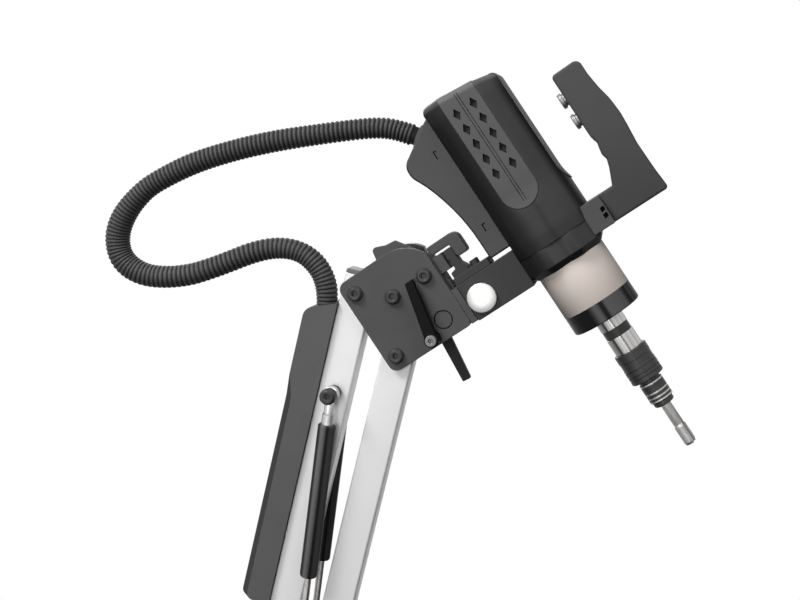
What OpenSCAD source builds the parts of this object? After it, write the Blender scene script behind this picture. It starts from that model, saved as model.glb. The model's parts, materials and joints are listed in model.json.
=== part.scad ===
// Electric tapping machine on a two-stage balanced parallelogram arm.
// Origin: centre of the base plate's underside. +X runs towards the head, +Z is up.

/* [Base] */
// Side of the square base plate
base_side = 240; // [200:1:400]
// Thickness of the base plate
base_t = 20; // [12:1:30]
// Corner radius of the base plate
base_corner = 20; // [5:1:40]
// Spacing of the four base bolt holes
base_bolt_spacing = 190; // [180:1:200]
// Radius of a base bolt hole
base_hole_r = 7; // [4:0.5:8]
// Radius of the swivel post
post_r = 30; // [24:1:34]
// Height of the post above its flange
post_h = 110; // [80:1:140]
// Radius of the post flange
post_flange_r = 76; // [72:1:85]
// Thickness of the post flange
post_flange_t = 15; // [10:1:20]
// Radius of the ring of post screws
post_screw_ring = 62; // [59:0.5:64]
// Outer radius of the turret sleeve
turret_r = 48; // [42:1:50]

/* [Arms] */
// Pivot-to-pivot length of the lower arm
lower_len = 500; // [440:1:650]
// Angle of the lower arm above the horizontal, leaning back
lower_tilt = 110; // [95:1:115]
// Pivot-to-pivot length of the upper arm
upper_len = 500; // [440:1:650]
// Angle of the upper arm above the horizontal
upper_tilt = 42; // [30:1:45]
// Distance between the two pivots of a parallelogram
pivot_gap = 90; // [88:1:100]
// Height of the shoulder pivots above the bench
shoulder_z = 300; // [295:1:360]
// Height of an arm tube across its flat side
tube_h = 40; // [36:1:42]
// Width of an arm tube between the plates
tube_w = 30; // [26:1:34]
// Wall of an arm tube
tube_wall = 2.5; // [1.5:0.5:4]
// Length of tube beyond a pivot
tube_tail = 21; // [18:1:22]
// Thickness of a tube end cap
cap_t = 5; // [3:0.5:6]
// Outer radius of the cross bush in a tube
bush_r = 12; // [9:1:14]
// Side gap between a tube and a plate
tube_gap = 1; // [0.5:0.1:2]
// Thickness of the joint plates
plate_t = 8; // [6:1:12]
// Radius of a pivot bolt
bolt_r = 6; // [5:0.5:7]
// Radius of a bolt head
bolt_head_r = 10; // [9:0.5:11]
// Height of a bolt head
bolt_head_h = 6; // [4:0.5:7]

/* [Gas springs] */
// Distance from the outer pivot back to the gas spring stud
stud_back = 128; // [110:1:140]
// Radius of a gas spring stud
stud_r = 5; // [4:0.5:6]
// Radius of the head of a gas spring stud
stud_head_r = 10; // [8:0.5:12]
// Radius of a gas spring cylinder
gas_r = 11; // [9:0.5:12]
// Length of a gas spring cylinder
gas_len = 200; // [180:1:220]
// Distance from the stud to the start of the cylinder
gas_neck = 38; // [30:1:45]
// Radius of a gas spring rod
rod_r = 4.5; // [4:0.1:4.8]
// Length of rod inside the cylinder at rest
rod_inside = 62; // [58:1:80]
// Distance of the gas spring's centre line from the arm's middle
gas_y = 30; // [29:0.5:34]
// Distance from a plate pivot to the gas spring's lower eye
eye_arm = 46.5; // [44:0.5:50]
// Angle between an arm and its lower eye, seen from the pivot
eye_angle = 117; // [112:1:122]

/* [Cable covers] */
// Height of a cable cover above its tube
cover_h = 39.5; // [30:0.5:45]
// Width of a cable cover
cover_w = 40; // [34:1:44]
// Wall of a cable cover
cover_wall = 2.5; // [1.5:0.5:4]
// Distance of a cable cover from the pivot it starts at
cover_start = 75; // [65:1:110]
// Distance of the upper cable cover's slanted end from the head pivot
cover_end = 18; // [16:0.5:22]
// Distance from that end to the centre of the upper cable cover's rounded corner
cover_slant = 27.5; // [24:0.5:34]
// Radius of the upper cable cover's rounded corner
cover_round = 16; // [12:1:20]

/* [Head bracket] */
// Width of a head plate
head_w = 115; // [112:1:118]
// Height of a head plate
head_h = 126.5; // [124:0.5:130]
// Distance from the plate's left edge to the arm pivots
head_inset = 15.5; // [13:0.5:20]
// Distance from the plate's top edge down to the upper arm pivot
head_drop = 19.5; // [18:0.5:22]
// Radius of the large top corner of a head plate
head_arc = 50; // [44:1:54]
// Depth of the roll axis below the upper arm pivot
roll_drop = 84; // [82:0.5:86]
// Radius of the roll shaft in the clamp block
roll_r = 14; // [12:0.5:15]
// Length of the roll shaft in the clamp block
roll_len = 56; // [40:1:70]
// Length of the near clamp lever from its screw to its tip
lever_len = 77; // [60:1:80]
// Length of the far clamp lever from its screw to its tip
far_lever_len = 70; // [60:1:80]
// Width of a clamp lever's bar
lever_w = 11; // [8:0.5:13]
// Outer radius of the star knob
star_r = 35.5; // [32:0.5:37]

/* [Clamp block] */
// Length of the clamp block
block_len = 79; // [76:0.5:84]
// Height of the clamp block
block_h = 48.5; // [46:0.5:49]
// Half the depth of the clamp block
block_half = 22; // [20:0.5:23]
// Radius of the brake plug
plug_r = 18; // [14:0.5:19]
// How far the brake plug stands out of the block
plug_out = 5; // [2:0.5:6]

/* [Motor housing] */
// Half the width of the housing across its flats
house_half = 48; // [46:1:52]
// Half the width of one flat of the housing
house_flat = 22; // [20:1:26]
// Height of the housing above its seam
house_h = 213; // [200:1:240]
// Drop of the housing's sloping top from left to right
house_slope = 11; // [0:1:16]
// Wall of the housing shells
house_wall = 3; // [2:0.5:4]
// Height of the housing base with its chamfer
house_base_h = 30.5; // [26:0.5:34]
// Radius of the housing's top edges
house_round = 9; // [4:0.5:12]
// Distance that a vent panel stands out
panel_out = 1.5; // [1:0.1:2.5]
// Half the height of a vent diamond
vent_h = 8; // [5:0.5:9]
// Half the width of a vent diamond
vent_w = 5; // [3:0.5:6]
// Spacing of the vent diamonds
vent_pitch = 21; // [18:0.5:24]
// Number of vent diamonds in a row
vent_count = 5; // [2:1:6]
// Half the depth of the handle
grip_half = 17; // [15:0.5:19]
// Radius of a push button
button_r = 10; // [6:0.5:11]
// Travel of a push button
button_travel = 2; // [1:0.5:3]

/* [Drive] */
// Radius of the gearbox
gear_r = 43; // [36:0.5:46]
// Length of the gearbox below the housing
gear_len = 55; // [40:1:70]
// Length of the black collar under the gearbox
gear_collar_len = 23; // [15:1:30]
// Radius of the spindle
spindle_r = 17; // [14:0.5:19]
// Length of the spindle below the collar
spindle_len = 47; // [40:1:60]
// Outer radius of the chuck collar
collar_r = 20.5; // [18:0.5:24]
// Length of the chuck collar
collar_len = 39.5; // [30:0.5:46]
// Outer radius of the tap collet
collet_r = 14.5; // [12:0.5:16]
// Length of the tap collet below the chuck
collet_len = 30; // [20:1:40]
// Radius of the tap shank
shank_r = 6.2; // [5:0.1:7]
// Radius of the tap's thread
tap_r = 8; // [7.5:0.1:9]
// Length of the tap shank below the collet
shank_len = 29; // [20:1:50]
// Length of the tap's cutting part
tap_len = 27; // [20:1:50]

/* [Fits] */
// Radial clearance of a running fit
run_gap = 0.05; // [0.02:0.01:0.1]
// Radial clearance of a bolt in its hole
bolt_gap = 0.2; // [0.1:0.05:0.4]
// Gap between faces that move past each other
face_gap = 0.3; // [0.2:0.1:0.6]
// Radial clearance of the gas springs' open lower pivot
open_gap = 5; // [4.5:0.5:7]

/* [Hidden] */
$fn = 48;

// Half the room between the two plates of a joint, and their outer faces
plate_in = tube_w / 2 + tube_gap;
plate_out = plate_in + plate_t;

// Heights of the swivel
flange_top = base_t + post_flange_t;
post_top = flange_top + post_h;
turret_floor = flange_top + face_gap;
turret_top = post_top + 15;
turret_foot = turret_r - 4;
turret_half = 62;
neck_low = turret_top - 20;
neck_high = turret_top + 25;
shoulder_block_top = shoulder_z - 45;
lock_z = flange_top + 60;

// Pivots of the lower arm, in the XZ plane
lower_pivot = [pivot_gap / 2, shoulder_z];
lower_link_pivot = lower_pivot - [pivot_gap, 0];
elbow_pivot = lower_pivot + lower_len * dir(lower_tilt);
elbow_link_pivot = elbow_pivot - [pivot_gap, 0];

// Corners of the cable covers
cover_corner = 8;
lower_cover_slant = 14;

// Pivots of the upper arm
upper_offset = [60, 150];
upper_pivot = elbow_pivot + upper_offset;
upper_link_pivot = upper_pivot - [0, pivot_gap];
head_pivot = upper_pivot + upper_len * dir(upper_tilt);

// Lower eyes of the gas springs
lower_eye = lower_pivot + eye_arm * dir(lower_tilt + eye_angle);
upper_eye = upper_pivot + eye_arm * dir(upper_tilt - eye_angle);
lower_stud = lower_pivot + (lower_len - stud_back) * dir(lower_tilt);
upper_stud = upper_pivot + (upper_len - stud_back) * dir(upper_tilt);
eye_pin_r = 4;
eye_hole_r = eye_pin_r + open_gap;
eye_ring_r = eye_hole_r + 4;
eye_half = 5;

// Elbow plate outline
elbow_edge = 28;
spacer_r = 10;
spacer_bolt_r = 5;
spacer_spots = [[-22, 55], [2, 108]];

// Head bracket, measured from the upper arm's pivot in the head
head_right = head_w - head_inset;
head_bottom = head_drop - head_h;
head_corner = 11;
cap_bolts = [[37, -28], [83, -28]];
lever_spot = [50.5, -96.5];
peep_spot = [73, -roll_drop];
peep_r = 11.7;
star_spot = [58.5, -14.5];
star_grooves = 6;
star_groove_r = 6;
star_stem_r = 5;
horn = [34, 67];
horn_tip = 28.5;
horn_root = -17;
sweep_r = norm([tube_tail + cap_t, tube_h / 2]);
lever_hub_r = 9;
lever_plane = plate_out + 7;
lever_t = 8;
lever_hub_len = 16;

// Roll axis pieces
roll_stub_r = roll_r - 2;
roll_start = 62;
flange_t = 8;
boss_len = 13;
boss_z = -27;
boss_half = 11;
index_top = -50.5;
index_left = 108;
index_right = 156.5;
index_nut_x = 138.7;
neck_t = 3.5;
pin_r = 4;
plunger_r = 5;
j_left = 100.3;
j_top = -1.8;
j_right = 142;
j_bottom = -31.3;
j_bar = 11.5;
j_leg = 16;
j_half = 10;
guide_left = 116.5;
guide_right = 126;
block_left = head_right + flange_t + 0.5;
block_right = block_left + block_len;
block_top = -60;
block_bottom = block_top - block_h;
plug_x = 126.5;
plug_z = -87;
plug_in = -roll_r + 2.5;

// Motor housing
axis_x = block_right + house_half;
seam_z = -77;
house_top = seam_z + house_h;
base_bottom = seam_z - house_base_h;
base_chamfer = 7;
panel_bottom = -27;
panel_top = 118;
vent_x = 11;
vent_top = 103;
box_half = 22;
box_bottom = -54.7;
bracket_half = 29;
bracket_left = axis_x + 41;
bracket_right = axis_x + 68.5;
bracket_top = -61;
bracket_bottom = -97.5;
grip_left = bracket_right + 28.5;
grip_right = grip_left + 41;
grip_top = 81;
button_spots = [51.5, 23.5];
motor_r = 42;
motor_h = 150;
motor_shaft_r = 9.5;

// Drive
gear_bottom = base_bottom - gear_len;
collar_bottom = gear_bottom - gear_collar_len;
spindle_bottom = collar_bottom - spindle_len;
chuck_bottom = spindle_bottom - collar_len;
collet_bottom = chuck_bottom - collet_len;
ring_bottom = collet_bottom - 6;
shank_bottom = ring_bottom - shank_len;
chuck_bore_r = 14;
chuck_seat_r = chuck_bore_r + 3;
spindle_top = gear_bottom + 20;
spigot_r = motor_shaft_r + 7.8;
spigot_h = 14;
bearing_r = spindle_r + 12.8;
bearing_h = 24;
groove_top = collar_bottom - 12;
groove_len = 10;

// Conduit: route from the cable box gland to the arm gland, from the head pivot
conduit_sides = 10;
conduit_steps = 2;
// Each point is its X, its Z and the conduit's radius there
conduit_route = [
    [165, 114, 13], [148.5, 134.5, 12.75], [133.5, 148, 12.75], [110, 162.5, 12.75],
    [61, 188, 13], [11.5, 212, 13.5], [-40.5, 233, 13.5], [-92.5, 249, 13.75],
    [-146, 257.5, 13.5], [-176, 256, 14], [-203.5, 248.5, 15.25], [-224, 236, 15.75],
    [-236, 220, 15.75], [-240, 203, 15.75], [-235.5, 185.5, 15.5], [-223, 168, 14.75],
    [-201.5, 151.5, 14.25], [-175, 138, 14], [-147, 129, 13.75], [-119, 122, 13.75],
    [-92, 115.5, 13.75], [-66.5, 106, 13.5], [-47.5, 93.5, 13.25], [-35, 78.5, 13.25],
    [-29, 61.5, 13.75], [-28.5, 44, 13.75], [-34, 26, 13.75], [-45.5, 8.5, 13]
];
conduit_end = conduit_route[len(conduit_route) - 1];
gland_r = 15.5;
box_gland_angle = 126;
arm_gland_angle = 57;
box_gland_depth = 14;
arm_gland_depth = 5.5;

// Unit vector in the XZ plane at an angle above +X
function dir(a) = [cos(a), sin(a)];

// Angle of the line from one XZ point to another
function aim(from, to) = atan2(to[1] - from[1], to[0] - from[0]);

// Points of an arc round a centre
function arc(c, r, a0, a1, n = 6) = [for (i = [0 : n]) c + r * dir(a0 + (a1 - a0) * i / n)];

// Places children at an XZ point, turned to an angle above the horizontal
module at(p, angle = 0) {
    translate([p[0], 0, p[1]]) rotate([0, -angle, 0]) children();
}

// Places children in the head's own frame, at the upper arm's pivot in the head
module in_head() {
    at(head_pivot) children();
}

// Round bar along Y between two distances
module y_bar(r, y0, y1) {
    translate([0, y0, 0]) rotate([-90, 0, 0]) cylinder(r = r, h = y1 - y0);
}

// Round bar along X between two distances
module x_bar(r, x0, x1) {
    translate([x0, 0, 0]) rotate([0, 90, 0]) cylinder(r = r, h = x1 - x0);
}

// Outline in the XZ plane, given thickness from y0 to y1
module slab(y0, y1) {
    translate([0, y1, 0]) rotate([90, 0, 0]) linear_extrude(y1 - y0) children();
}

// Box between two corners
module box(low, high) {
    translate(low) cube(high - low);
}

// Copies children on the near and the far side
module both_sides() {
    children();
    mirror([0, 1, 0]) children();
}

// Bolt head with a hexagon socket, standing out along -Y from the plate's outer face
module socket_head(r, h) {
    difference() {
        y_bar(r, -plate_out - h, -plate_out);
        y_bar(r * 0.42, -plate_out - h - 1, -plate_out - h * 0.45, $fn = 6);
    }
}

// Bolt through both plates of a joint with a socket head on each side
module through_bolt(r = bolt_r) {
    y_bar(r, -plate_out, plate_out);
    both_sides() socket_head(bolt_head_r, bolt_head_h);
}

// Pair of plates with an outline and holes
module plate_pair() {
    both_sides() slab(-plate_out, -plate_in) children();
}

// Arm tube along +X from its first pivot, with a bored cross bush at each pivot
module arm_tube(len) {
    difference() {
        union() {
            difference() {
                box([-tube_tail, -tube_w / 2, -tube_h / 2], [len + tube_tail, tube_w / 2, tube_h / 2]);
                box([-tube_tail - 1, -tube_w / 2 + tube_wall, -tube_h / 2 + tube_wall],
                    [len + tube_tail + 1, tube_w / 2 - tube_wall, tube_h / 2 - tube_wall]);
            }
            for (x = [0, len]) translate([x, 0, 0]) y_bar(bush_r, -tube_w / 2, tube_w / 2);
        }
        for (x = [0, len]) translate([x, 0, 0])
            y_bar(bolt_r + run_gap, -tube_w, tube_w);
    }
}

// Pair of end caps, each with a plug that fills the mouth of the tube
module tube_caps(len) {
    plug_len = 5;
    slack = 0.1;
    for (end = [0, 1]) translate([end * len, 0, 0]) mirror([1 - end, 0, 0]) {
        box([tube_tail, -tube_w / 2, -tube_h / 2], [tube_tail + cap_t, tube_w / 2, tube_h / 2]);
        box([tube_tail - plug_len, -tube_w / 2 + tube_wall + slack, -tube_h / 2 + tube_wall + slack],
            [tube_tail, tube_w / 2 - tube_wall - slack, tube_h / 2 - tube_wall - slack]);
    }
}

// Pair of gas spring studs standing out of a tube's sides
module gas_studs() {
    head_h = 5;
    both_sides() {
        y_bar(stud_r + 4, -tube_w / 2 - 4, -tube_w / 2);
        y_bar(stud_r, -gas_y - eye_half - 8, -tube_w / 2 - 4);
        difference() {
            y_bar(stud_head_r, -gas_y - eye_half - 8 - head_h, -gas_y - eye_half - 8);
            y_bar(stud_head_r * 0.4, -gas_y - eye_half - 9 - head_h, -gas_y - eye_half - 10, $fn = 6);
        }
    }
}

// Gas spring cylinder: eye on the stud at the origin, neck and barrel along -X
module gas_cylinder() {
    eye_r = stud_r + 4.5;
    mouth = 10;
    both_sides() translate([0, -gas_y, 0]) {
        difference() {
            y_bar(eye_r, -eye_half, eye_half);
            y_bar(stud_r + run_gap, -eye_half - 1, eye_half + 1);
        }
        difference() {
            x_bar(stud_r + 1, -gas_neck, -eye_r + 1);
            y_bar(eye_r - 0.5, -eye_half, eye_half);
        }
        difference() {
            x_bar(gas_r, -gas_neck - gas_len, -gas_neck);
            x_bar(gas_r - 1.5, -gas_neck - gas_len + mouth, -gas_neck - 6);
            x_bar(rod_r + run_gap, -gas_neck - gas_len - 1, -gas_neck - gas_len + mouth + 1);
        }
    }
}

// Gas spring rod: piston in the barrel, rod along -X and an open eye at its end
module gas_rod(length) {
    mouth = -gas_neck - gas_len;
    both_sides() translate([0, -gas_y, 0]) {
        x_bar(gas_r - 1.5 - run_gap, mouth + rod_inside, mouth + rod_inside + 8);
        x_bar(rod_r, -length + eye_hole_r + 1.5, mouth + rod_inside);
        translate([-length, 0, 0]) difference() {
            y_bar(eye_ring_r, -eye_half, eye_half);
            y_bar(eye_hole_r, -eye_half - 1, eye_half + 1);
        }
    }
}

// Pins on a pair of plates that the rods' open eyes hang round
module eye_pins() {
    both_sides() {
        y_bar(eye_pin_r, -gas_y - eye_half - 1, -plate_out);
        y_bar(eye_hole_r + 2, -gas_y - eye_half - 4, -gas_y - eye_half - 1);
    }
}

// Side view of a cable cover: straight back, rounded corners and a face that leans
// from the end at x = tail to the corner's centre, slant before it; shrunk by a wall
module cover_outline(tail, slant, r, wall = 0) {
    top = tube_h / 2 + cover_h;
    low = tube_h / 2 - wall;
    foot = tail - 1.5 * wall;
    middle = [tail - slant, top - r];
    back = cover_start + cover_corner;
    reach = [foot, low] - middle;
    lean = atan2(reach[1], reach[0]) + acos((r - wall) / norm(reach));
    polygon(concat(
        [[cover_start + wall, low], [foot, low]],
        arc(middle, r - wall, lean, 90),
        arc([back, top - cover_corner], cover_corner - wall, 90, 180)
    ));
}

// Hollow cable cover on the upper side of a tube
module cable_cover(tail, slant, r) {
    inner = cover_w / 2 - cover_wall;
    difference() {
        slab(-cover_w / 2, cover_w / 2) cover_outline(tail, slant, r);
        slab(-inner, inner) cover_outline(tail, slant, r, cover_wall);
    }
}

// Clamp lever on the near side, bar pointing up, with its screw towards the block
module clamp_lever(length) {
    taper = 1;
    y_bar(bolt_r, -plate_out - face_gap, -bolt_r);
    y_bar(lever_hub_r, -plate_out - lever_hub_len, -plate_out - face_gap);
    difference() {
        y_bar(lever_hub_r - 2, -plate_out - lever_hub_len - 5, -plate_out - lever_hub_len);
        y_bar(3, -plate_out - lever_hub_len - 6, -plate_out - lever_hub_len - 2, $fn = 6);
    }
    slab(-lever_plane - lever_t, -lever_plane) polygon([
        [-lever_w / 2 - taper, 0], [lever_w / 2 + taper, 0],
        [lever_w / 2, length], [-lever_w / 2, length]
    ]);
}

// Octagonal section of the housing, grown by a distance
module house_section(grow = 0) {
    h = house_half + grow;
    f = house_flat + grow * 0.4;
    polygon([[h, -f], [h, f], [f, h], [-f, h], [-h, f], [-h, -f], [-f, -h], [f, -h]]);
}

// Raised stadium panel outline on a housing side
module panel_outline() {
    translate([-house_flat, panel_bottom + house_flat])
        square([2 * house_flat, panel_top - panel_bottom - house_flat]);
    translate([0, panel_bottom + house_flat]) circle(r = house_flat);
}

// Whole housing casing: octagonal tube with a sloping lid, side panels and vents
module housing_casing() {
    slope = atan(house_slope / (2 * house_half));
    left = axis_x - house_half;
    right = axis_x + house_half;
    r = house_round;
    difference() {
        union() {
            intersection() {
                translate([axis_x, 0, seam_z]) linear_extrude(house_h) house_section();
                slab(-house_half - 1, house_half + 1) polygon(concat(
                    [[left, seam_z], [right, seam_z]],
                    arc([right - r, house_top - house_slope - r], r, 0, 90),
                    arc([left + r, house_top - r - 1], r, 90, 180)
                ));
                at([left, house_top], -slope) rotate([0, 0, 90]) slab(-3 * house_half, house_half)
                    polygon(concat(
                        [[-house_half, -2 * house_h], [house_half, -2 * house_h]],
                        arc([house_half - r, -r], r, 0, 90), arc([r - house_half, -r], r, 90, 180)
                    ));
            }
            for (a = [0, 90, 180]) translate([axis_x, 0, 0]) rotate([0, 0, a])
                slab(-house_half - panel_out, -house_half + 1) panel_outline();
        }
        translate([axis_x, 0, seam_z - 1]) linear_extrude(house_h - house_slope - house_wall)
            house_section(-house_wall);
        for (side = [-1, 1], x = [-vent_x, vent_x], i = [0 : vent_count - 1])
            translate([axis_x + x, side * house_half, vent_top - i * vent_pitch])
                slab(-house_wall - 1, house_wall + 1)
                    polygon([[0, -vent_h], [vent_w, 0], [0, vent_h], [-vent_w, 0]]);
    }
}

module base_plate() {
    c = base_side / 2 - base_corner;
    color("dimgray") difference() {
        linear_extrude(base_t) polygon(concat(
            arc([c, c], base_corner, 0, 90), arc([-c, c], base_corner, 90, 180),
            arc([-c, -c], base_corner, 180, 270), arc([c, -c], base_corner, 270, 360)
        ));
        for (x = [-1, 1], y = [-1, 1]) translate([x, y, 0] * base_bolt_spacing / 2)
            translate([0, 0, -1]) cylinder(r = base_hole_r, h = base_t + 2);
    }
}

module swivel_post() {
    color("silver") {
        translate([0, 0, base_t]) difference() {
            cylinder(r = post_flange_r, h = post_flange_t);
            for (a = [45 : 90 : 315]) rotate([0, 0, a]) translate([post_screw_ring, 0, -1])
                cylinder(r = bolt_r + bolt_gap, h = post_flange_t + 2);
        }
        translate([0, 0, flange_top]) cylinder(r = post_r, h = post_h);
    }
}

module post_screws() {
    color("dimgray") for (a = [45 : 90 : 315]) rotate([0, 0, a]) translate([post_screw_ring, 0, 0]) {
        translate([0, 0, base_t]) cylinder(r = bolt_r, h = post_flange_t);
        translate([0, 0, flange_top]) difference() {
            cylinder(r = bolt_r + 4, h = 9);
            translate([0, 0, 4]) cylinder(r = 5, h = 6, $fn = 6);
        }
    }
}

module turret() {
    bore_h = post_top - turret_floor + 1 + face_gap;
    color("dimgray") difference() {
        union() {
            translate([0, 0, turret_floor]) cylinder(r = turret_r, h = turret_top - turret_floor);
            slab(-plate_in, plate_in) polygon([
                [-turret_foot, neck_low], [turret_foot, neck_low], [turret_half, neck_high],
                [turret_half, shoulder_block_top], [-turret_half, shoulder_block_top],
                [-turret_half, neck_high]
            ]);
        }
        translate([0, 0, turret_floor - 1]) cylinder(r = post_r + run_gap, h = bore_h);
        translate([0, 0, lock_z]) y_bar(bolt_r + run_gap, -turret_r - 1, 0);
        for (p = turret_bolts()) at(p) y_bar(bolt_r + bolt_gap, -plate_out, plate_out);
    }
}

// Centres of the four bolts that hold the shoulder plates
function turret_bolts() = [for (x = [-42, 42], z = [turret_top + 28, shoulder_block_top - 16]) [x, z]];

module shoulder_plates() {
    left = -78;
    r = 22;
    low = turret_top + 4;
    high = shoulder_z + 26;
    color("dimgray") difference() {
        plate_pair() polygon(concat(
            arc([-left - r, high - r], r, 0, 90), arc([left + r, high - r], r, 90, 180),
            arc([left + r, low + r], r, 180, 270), arc([-left - r, low + r], r, 270, 360)
        ));
        for (p = concat([lower_pivot, lower_link_pivot], turret_bolts()))
            at(p) y_bar(bolt_r + bolt_gap, -plate_out - 1, plate_out + 1);
    }
}

module shoulder_bolts() {
    color("gray") {
        for (p = concat([lower_pivot, lower_link_pivot], turret_bolts())) at(p) through_bolt();
        at(lower_eye) eye_pins();
    }
}

module swivel_lock_lever() {
    hub = turret_r + 14;
    color("black") translate([0, 0, lock_z]) {
        y_bar(bolt_r, -turret_r - face_gap, -post_r - face_gap);
        y_bar(lever_hub_r, -hub, -turret_r - face_gap);
        rotate([0, 30, 0]) slab(-hub, -hub + lever_t) polygon([
            [-lever_w / 2, 0], [lever_w / 2, 0],
            [lever_w / 2, far_lever_len], [-lever_w / 2, far_lever_len]
        ]);
    }
}

module lower_main_tube() {
    color("white") at(lower_pivot, lower_tilt) arm_tube(lower_len);
}

module lower_main_caps() {
    color("lightgray") at(lower_pivot, lower_tilt) tube_caps(lower_len);
}

module lower_gas_studs() {
    color("gray") at(lower_stud, lower_tilt) gas_studs();
}

module lower_cable_cover() {
    color("dimgray") at(lower_pivot, lower_tilt) mirror([0, 0, 1])
        cable_cover(lower_len - cover_start, lower_cover_slant, cover_corner);
}

module lower_link_tube() {
    color("white") at(lower_link_pivot, lower_tilt) arm_tube(lower_len);
}

module lower_link_caps() {
    color("lightgray") at(lower_link_pivot, lower_tilt) tube_caps(lower_len);
}

module lower_gas_cylinders() {
    color("black") at(lower_stud, aim(lower_eye, lower_stud)) gas_cylinder();
}

module lower_gas_rods() {
    color("silver") at(lower_stud, aim(lower_eye, lower_stud)) gas_rod(norm(lower_stud - lower_eye));
}

module elbow_plates() {
    color("dimgray") difference() {
        plate_pair() translate(elbow_pivot) polygon(concat(
            arc([-pivot_gap, 0], elbow_edge, 135, 270), arc([0, 0], elbow_edge, 270, 315),
            arc(upper_offset - [0, pivot_gap], elbow_edge, -45, 0),
            arc(upper_offset, elbow_edge, 0, 135, 9)
        ));
        for (p = [elbow_pivot, elbow_link_pivot, upper_pivot, upper_link_pivot])
            at(p) y_bar(bolt_r + bolt_gap, -plate_out - 1, plate_out + 1);
        for (s = spacer_spots)
            at(elbow_pivot + s) y_bar(spacer_bolt_r + bolt_gap, -plate_out - 1, plate_out + 1);
    }
}

module elbow_spacers() {
    color("gray") for (s = spacer_spots) at(elbow_pivot + s) difference() {
        y_bar(spacer_r, -plate_in, plate_in);
        y_bar(spacer_bolt_r + bolt_gap, -plate_in - 1, plate_in + 1);
    }
}

module elbow_bolts() {
    color("gray") {
        for (p = [elbow_pivot, elbow_link_pivot, upper_pivot, upper_link_pivot]) at(p) through_bolt();
        for (s = spacer_spots) at(elbow_pivot + s) through_bolt(spacer_bolt_r);
        at(upper_eye) eye_pins();
    }
}

module upper_main_tube() {
    color("white") at(upper_pivot, upper_tilt) arm_tube(upper_len);
}

module upper_main_caps() {
    color("lightgray") at(upper_pivot, upper_tilt) tube_caps(upper_len);
}

module upper_gas_studs() {
    color("gray") at(upper_stud, upper_tilt) gas_studs();
}

module upper_cable_cover() {
    color("dimgray") difference() {
        at(upper_pivot, upper_tilt) cable_cover(upper_len - cover_end, cover_slant, cover_round);
        in_head() at(conduit_end, arm_gland_angle)
            x_bar(gland_r + bolt_gap, -arm_gland_depth - 2 * cover_wall, gland_r);
    }
}

// Ring that holds the end of the conduit, with its axis along +X
module gland(depth) {
    difference() {
        x_bar(gland_r, -depth, 0);
        x_bar(gland_r - 4, -depth - 1, 1);
    }
}

module arm_gland() {
    color("black") in_head() at(conduit_end, arm_gland_angle) gland(arm_gland_depth);
}

module upper_link_tube() {
    color("white") at(upper_link_pivot, upper_tilt) arm_tube(upper_len);
}

module upper_link_caps() {
    color("lightgray") at(upper_link_pivot, upper_tilt) tube_caps(upper_len);
}

module upper_gas_cylinders() {
    color("black") at(upper_stud, aim(upper_eye, upper_stud)) gas_cylinder();
}

module upper_gas_rods() {
    color("silver") at(upper_stud, aim(upper_eye, upper_stud)) gas_rod(norm(upper_stud - upper_eye));
}

// Outline of the near head plate, from the upper pivot
module head_outline() {
    arc_c = [head_right - 44, head_drop - head_arc];
    polygon(concat(
        arc([head_corner - head_inset, head_bottom + head_corner], head_corner, 180, 270),
        arc([head_right - 6, head_bottom + 6], 6, 270, 360, 4),
        arc(arc_c, head_arc, acos(44 / head_arc), 90, 12),
        arc([head_corner - head_inset, head_drop - head_corner], head_corner, 90, 180)
    ));
}

// Outline of the far head plate: a horn on top and a straight slope down to the right edge
module far_head_outline() {
    polygon(concat(
        arc([head_corner - head_inset, head_bottom + head_corner], head_corner, 180, 270),
        arc([head_right - 6, head_bottom + 6], 6, 270, 360, 4),
        [[head_right, horn_root], [horn[1], horn_tip], [horn[1] - 13, horn_tip + 1.5]],
        arc([horn[0] + 7, horn_tip + 1.5], 5, 70, 170, 4),
        [[horn[0], head_drop]],
        arc([head_corner - head_inset, head_drop - head_corner], head_corner, 90, 180)
    ));
}

module head_plate_holes() {
    for (p = concat([[0, 0], [0, -pivot_gap], lever_spot], cap_bolts))
        at(p) y_bar(bolt_r + bolt_gap, -plate_out - 1, plate_out + 1);
}

module head_plate_near() {
    color("dimgray") in_head() difference() {
        slab(-plate_out, -plate_in) head_outline();
        head_plate_holes();
        at(peep_spot) y_bar(peep_r, -plate_out - 1, 0);
    }
}

module head_plate_far() {
    color("dimgray") in_head() difference() {
        slab(plate_in, plate_out) far_head_outline();
        head_plate_holes();
        at(star_spot) y_bar(star_stem_r + run_gap, 0, plate_out + 1);
    }
}

module head_block() {
    left = sweep_r + 3.5;
    low = head_bottom + 1;
    color("dimgray") in_head() difference() {
        union() {
            slab(-plate_in, plate_in) polygon([
                [left, 14.5], [74, 14.5], [74, -3], [90, -3], [90, -16], [head_right, -16],
                [head_right, low], [left, low],
                [left, -52], [left - 10, -46], [left - 10, -23], [left, -15]
            ]);
            at(peep_spot) y_bar(peep_r - 0.3, -plate_in - 3, 0);
        }
        for (p = cap_bolts) at(p) y_bar(bolt_r + bolt_gap, -plate_out, plate_out);
        at(lever_spot) y_bar(bolt_r + run_gap, -plate_out, plate_out);
        at(star_spot) y_bar(star_stem_r + run_gap, 3, plate_out);
        translate([0, 0, -roll_drop])
            x_bar(roll_stub_r + run_gap, roll_start - 2, head_right + 1);
    }
}

module head_bolts() {
    color("gray") in_head() {
        for (p = concat([[0, 0], [0, -pivot_gap]], cap_bolts)) at(p) through_bolt();
    }
}

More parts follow.
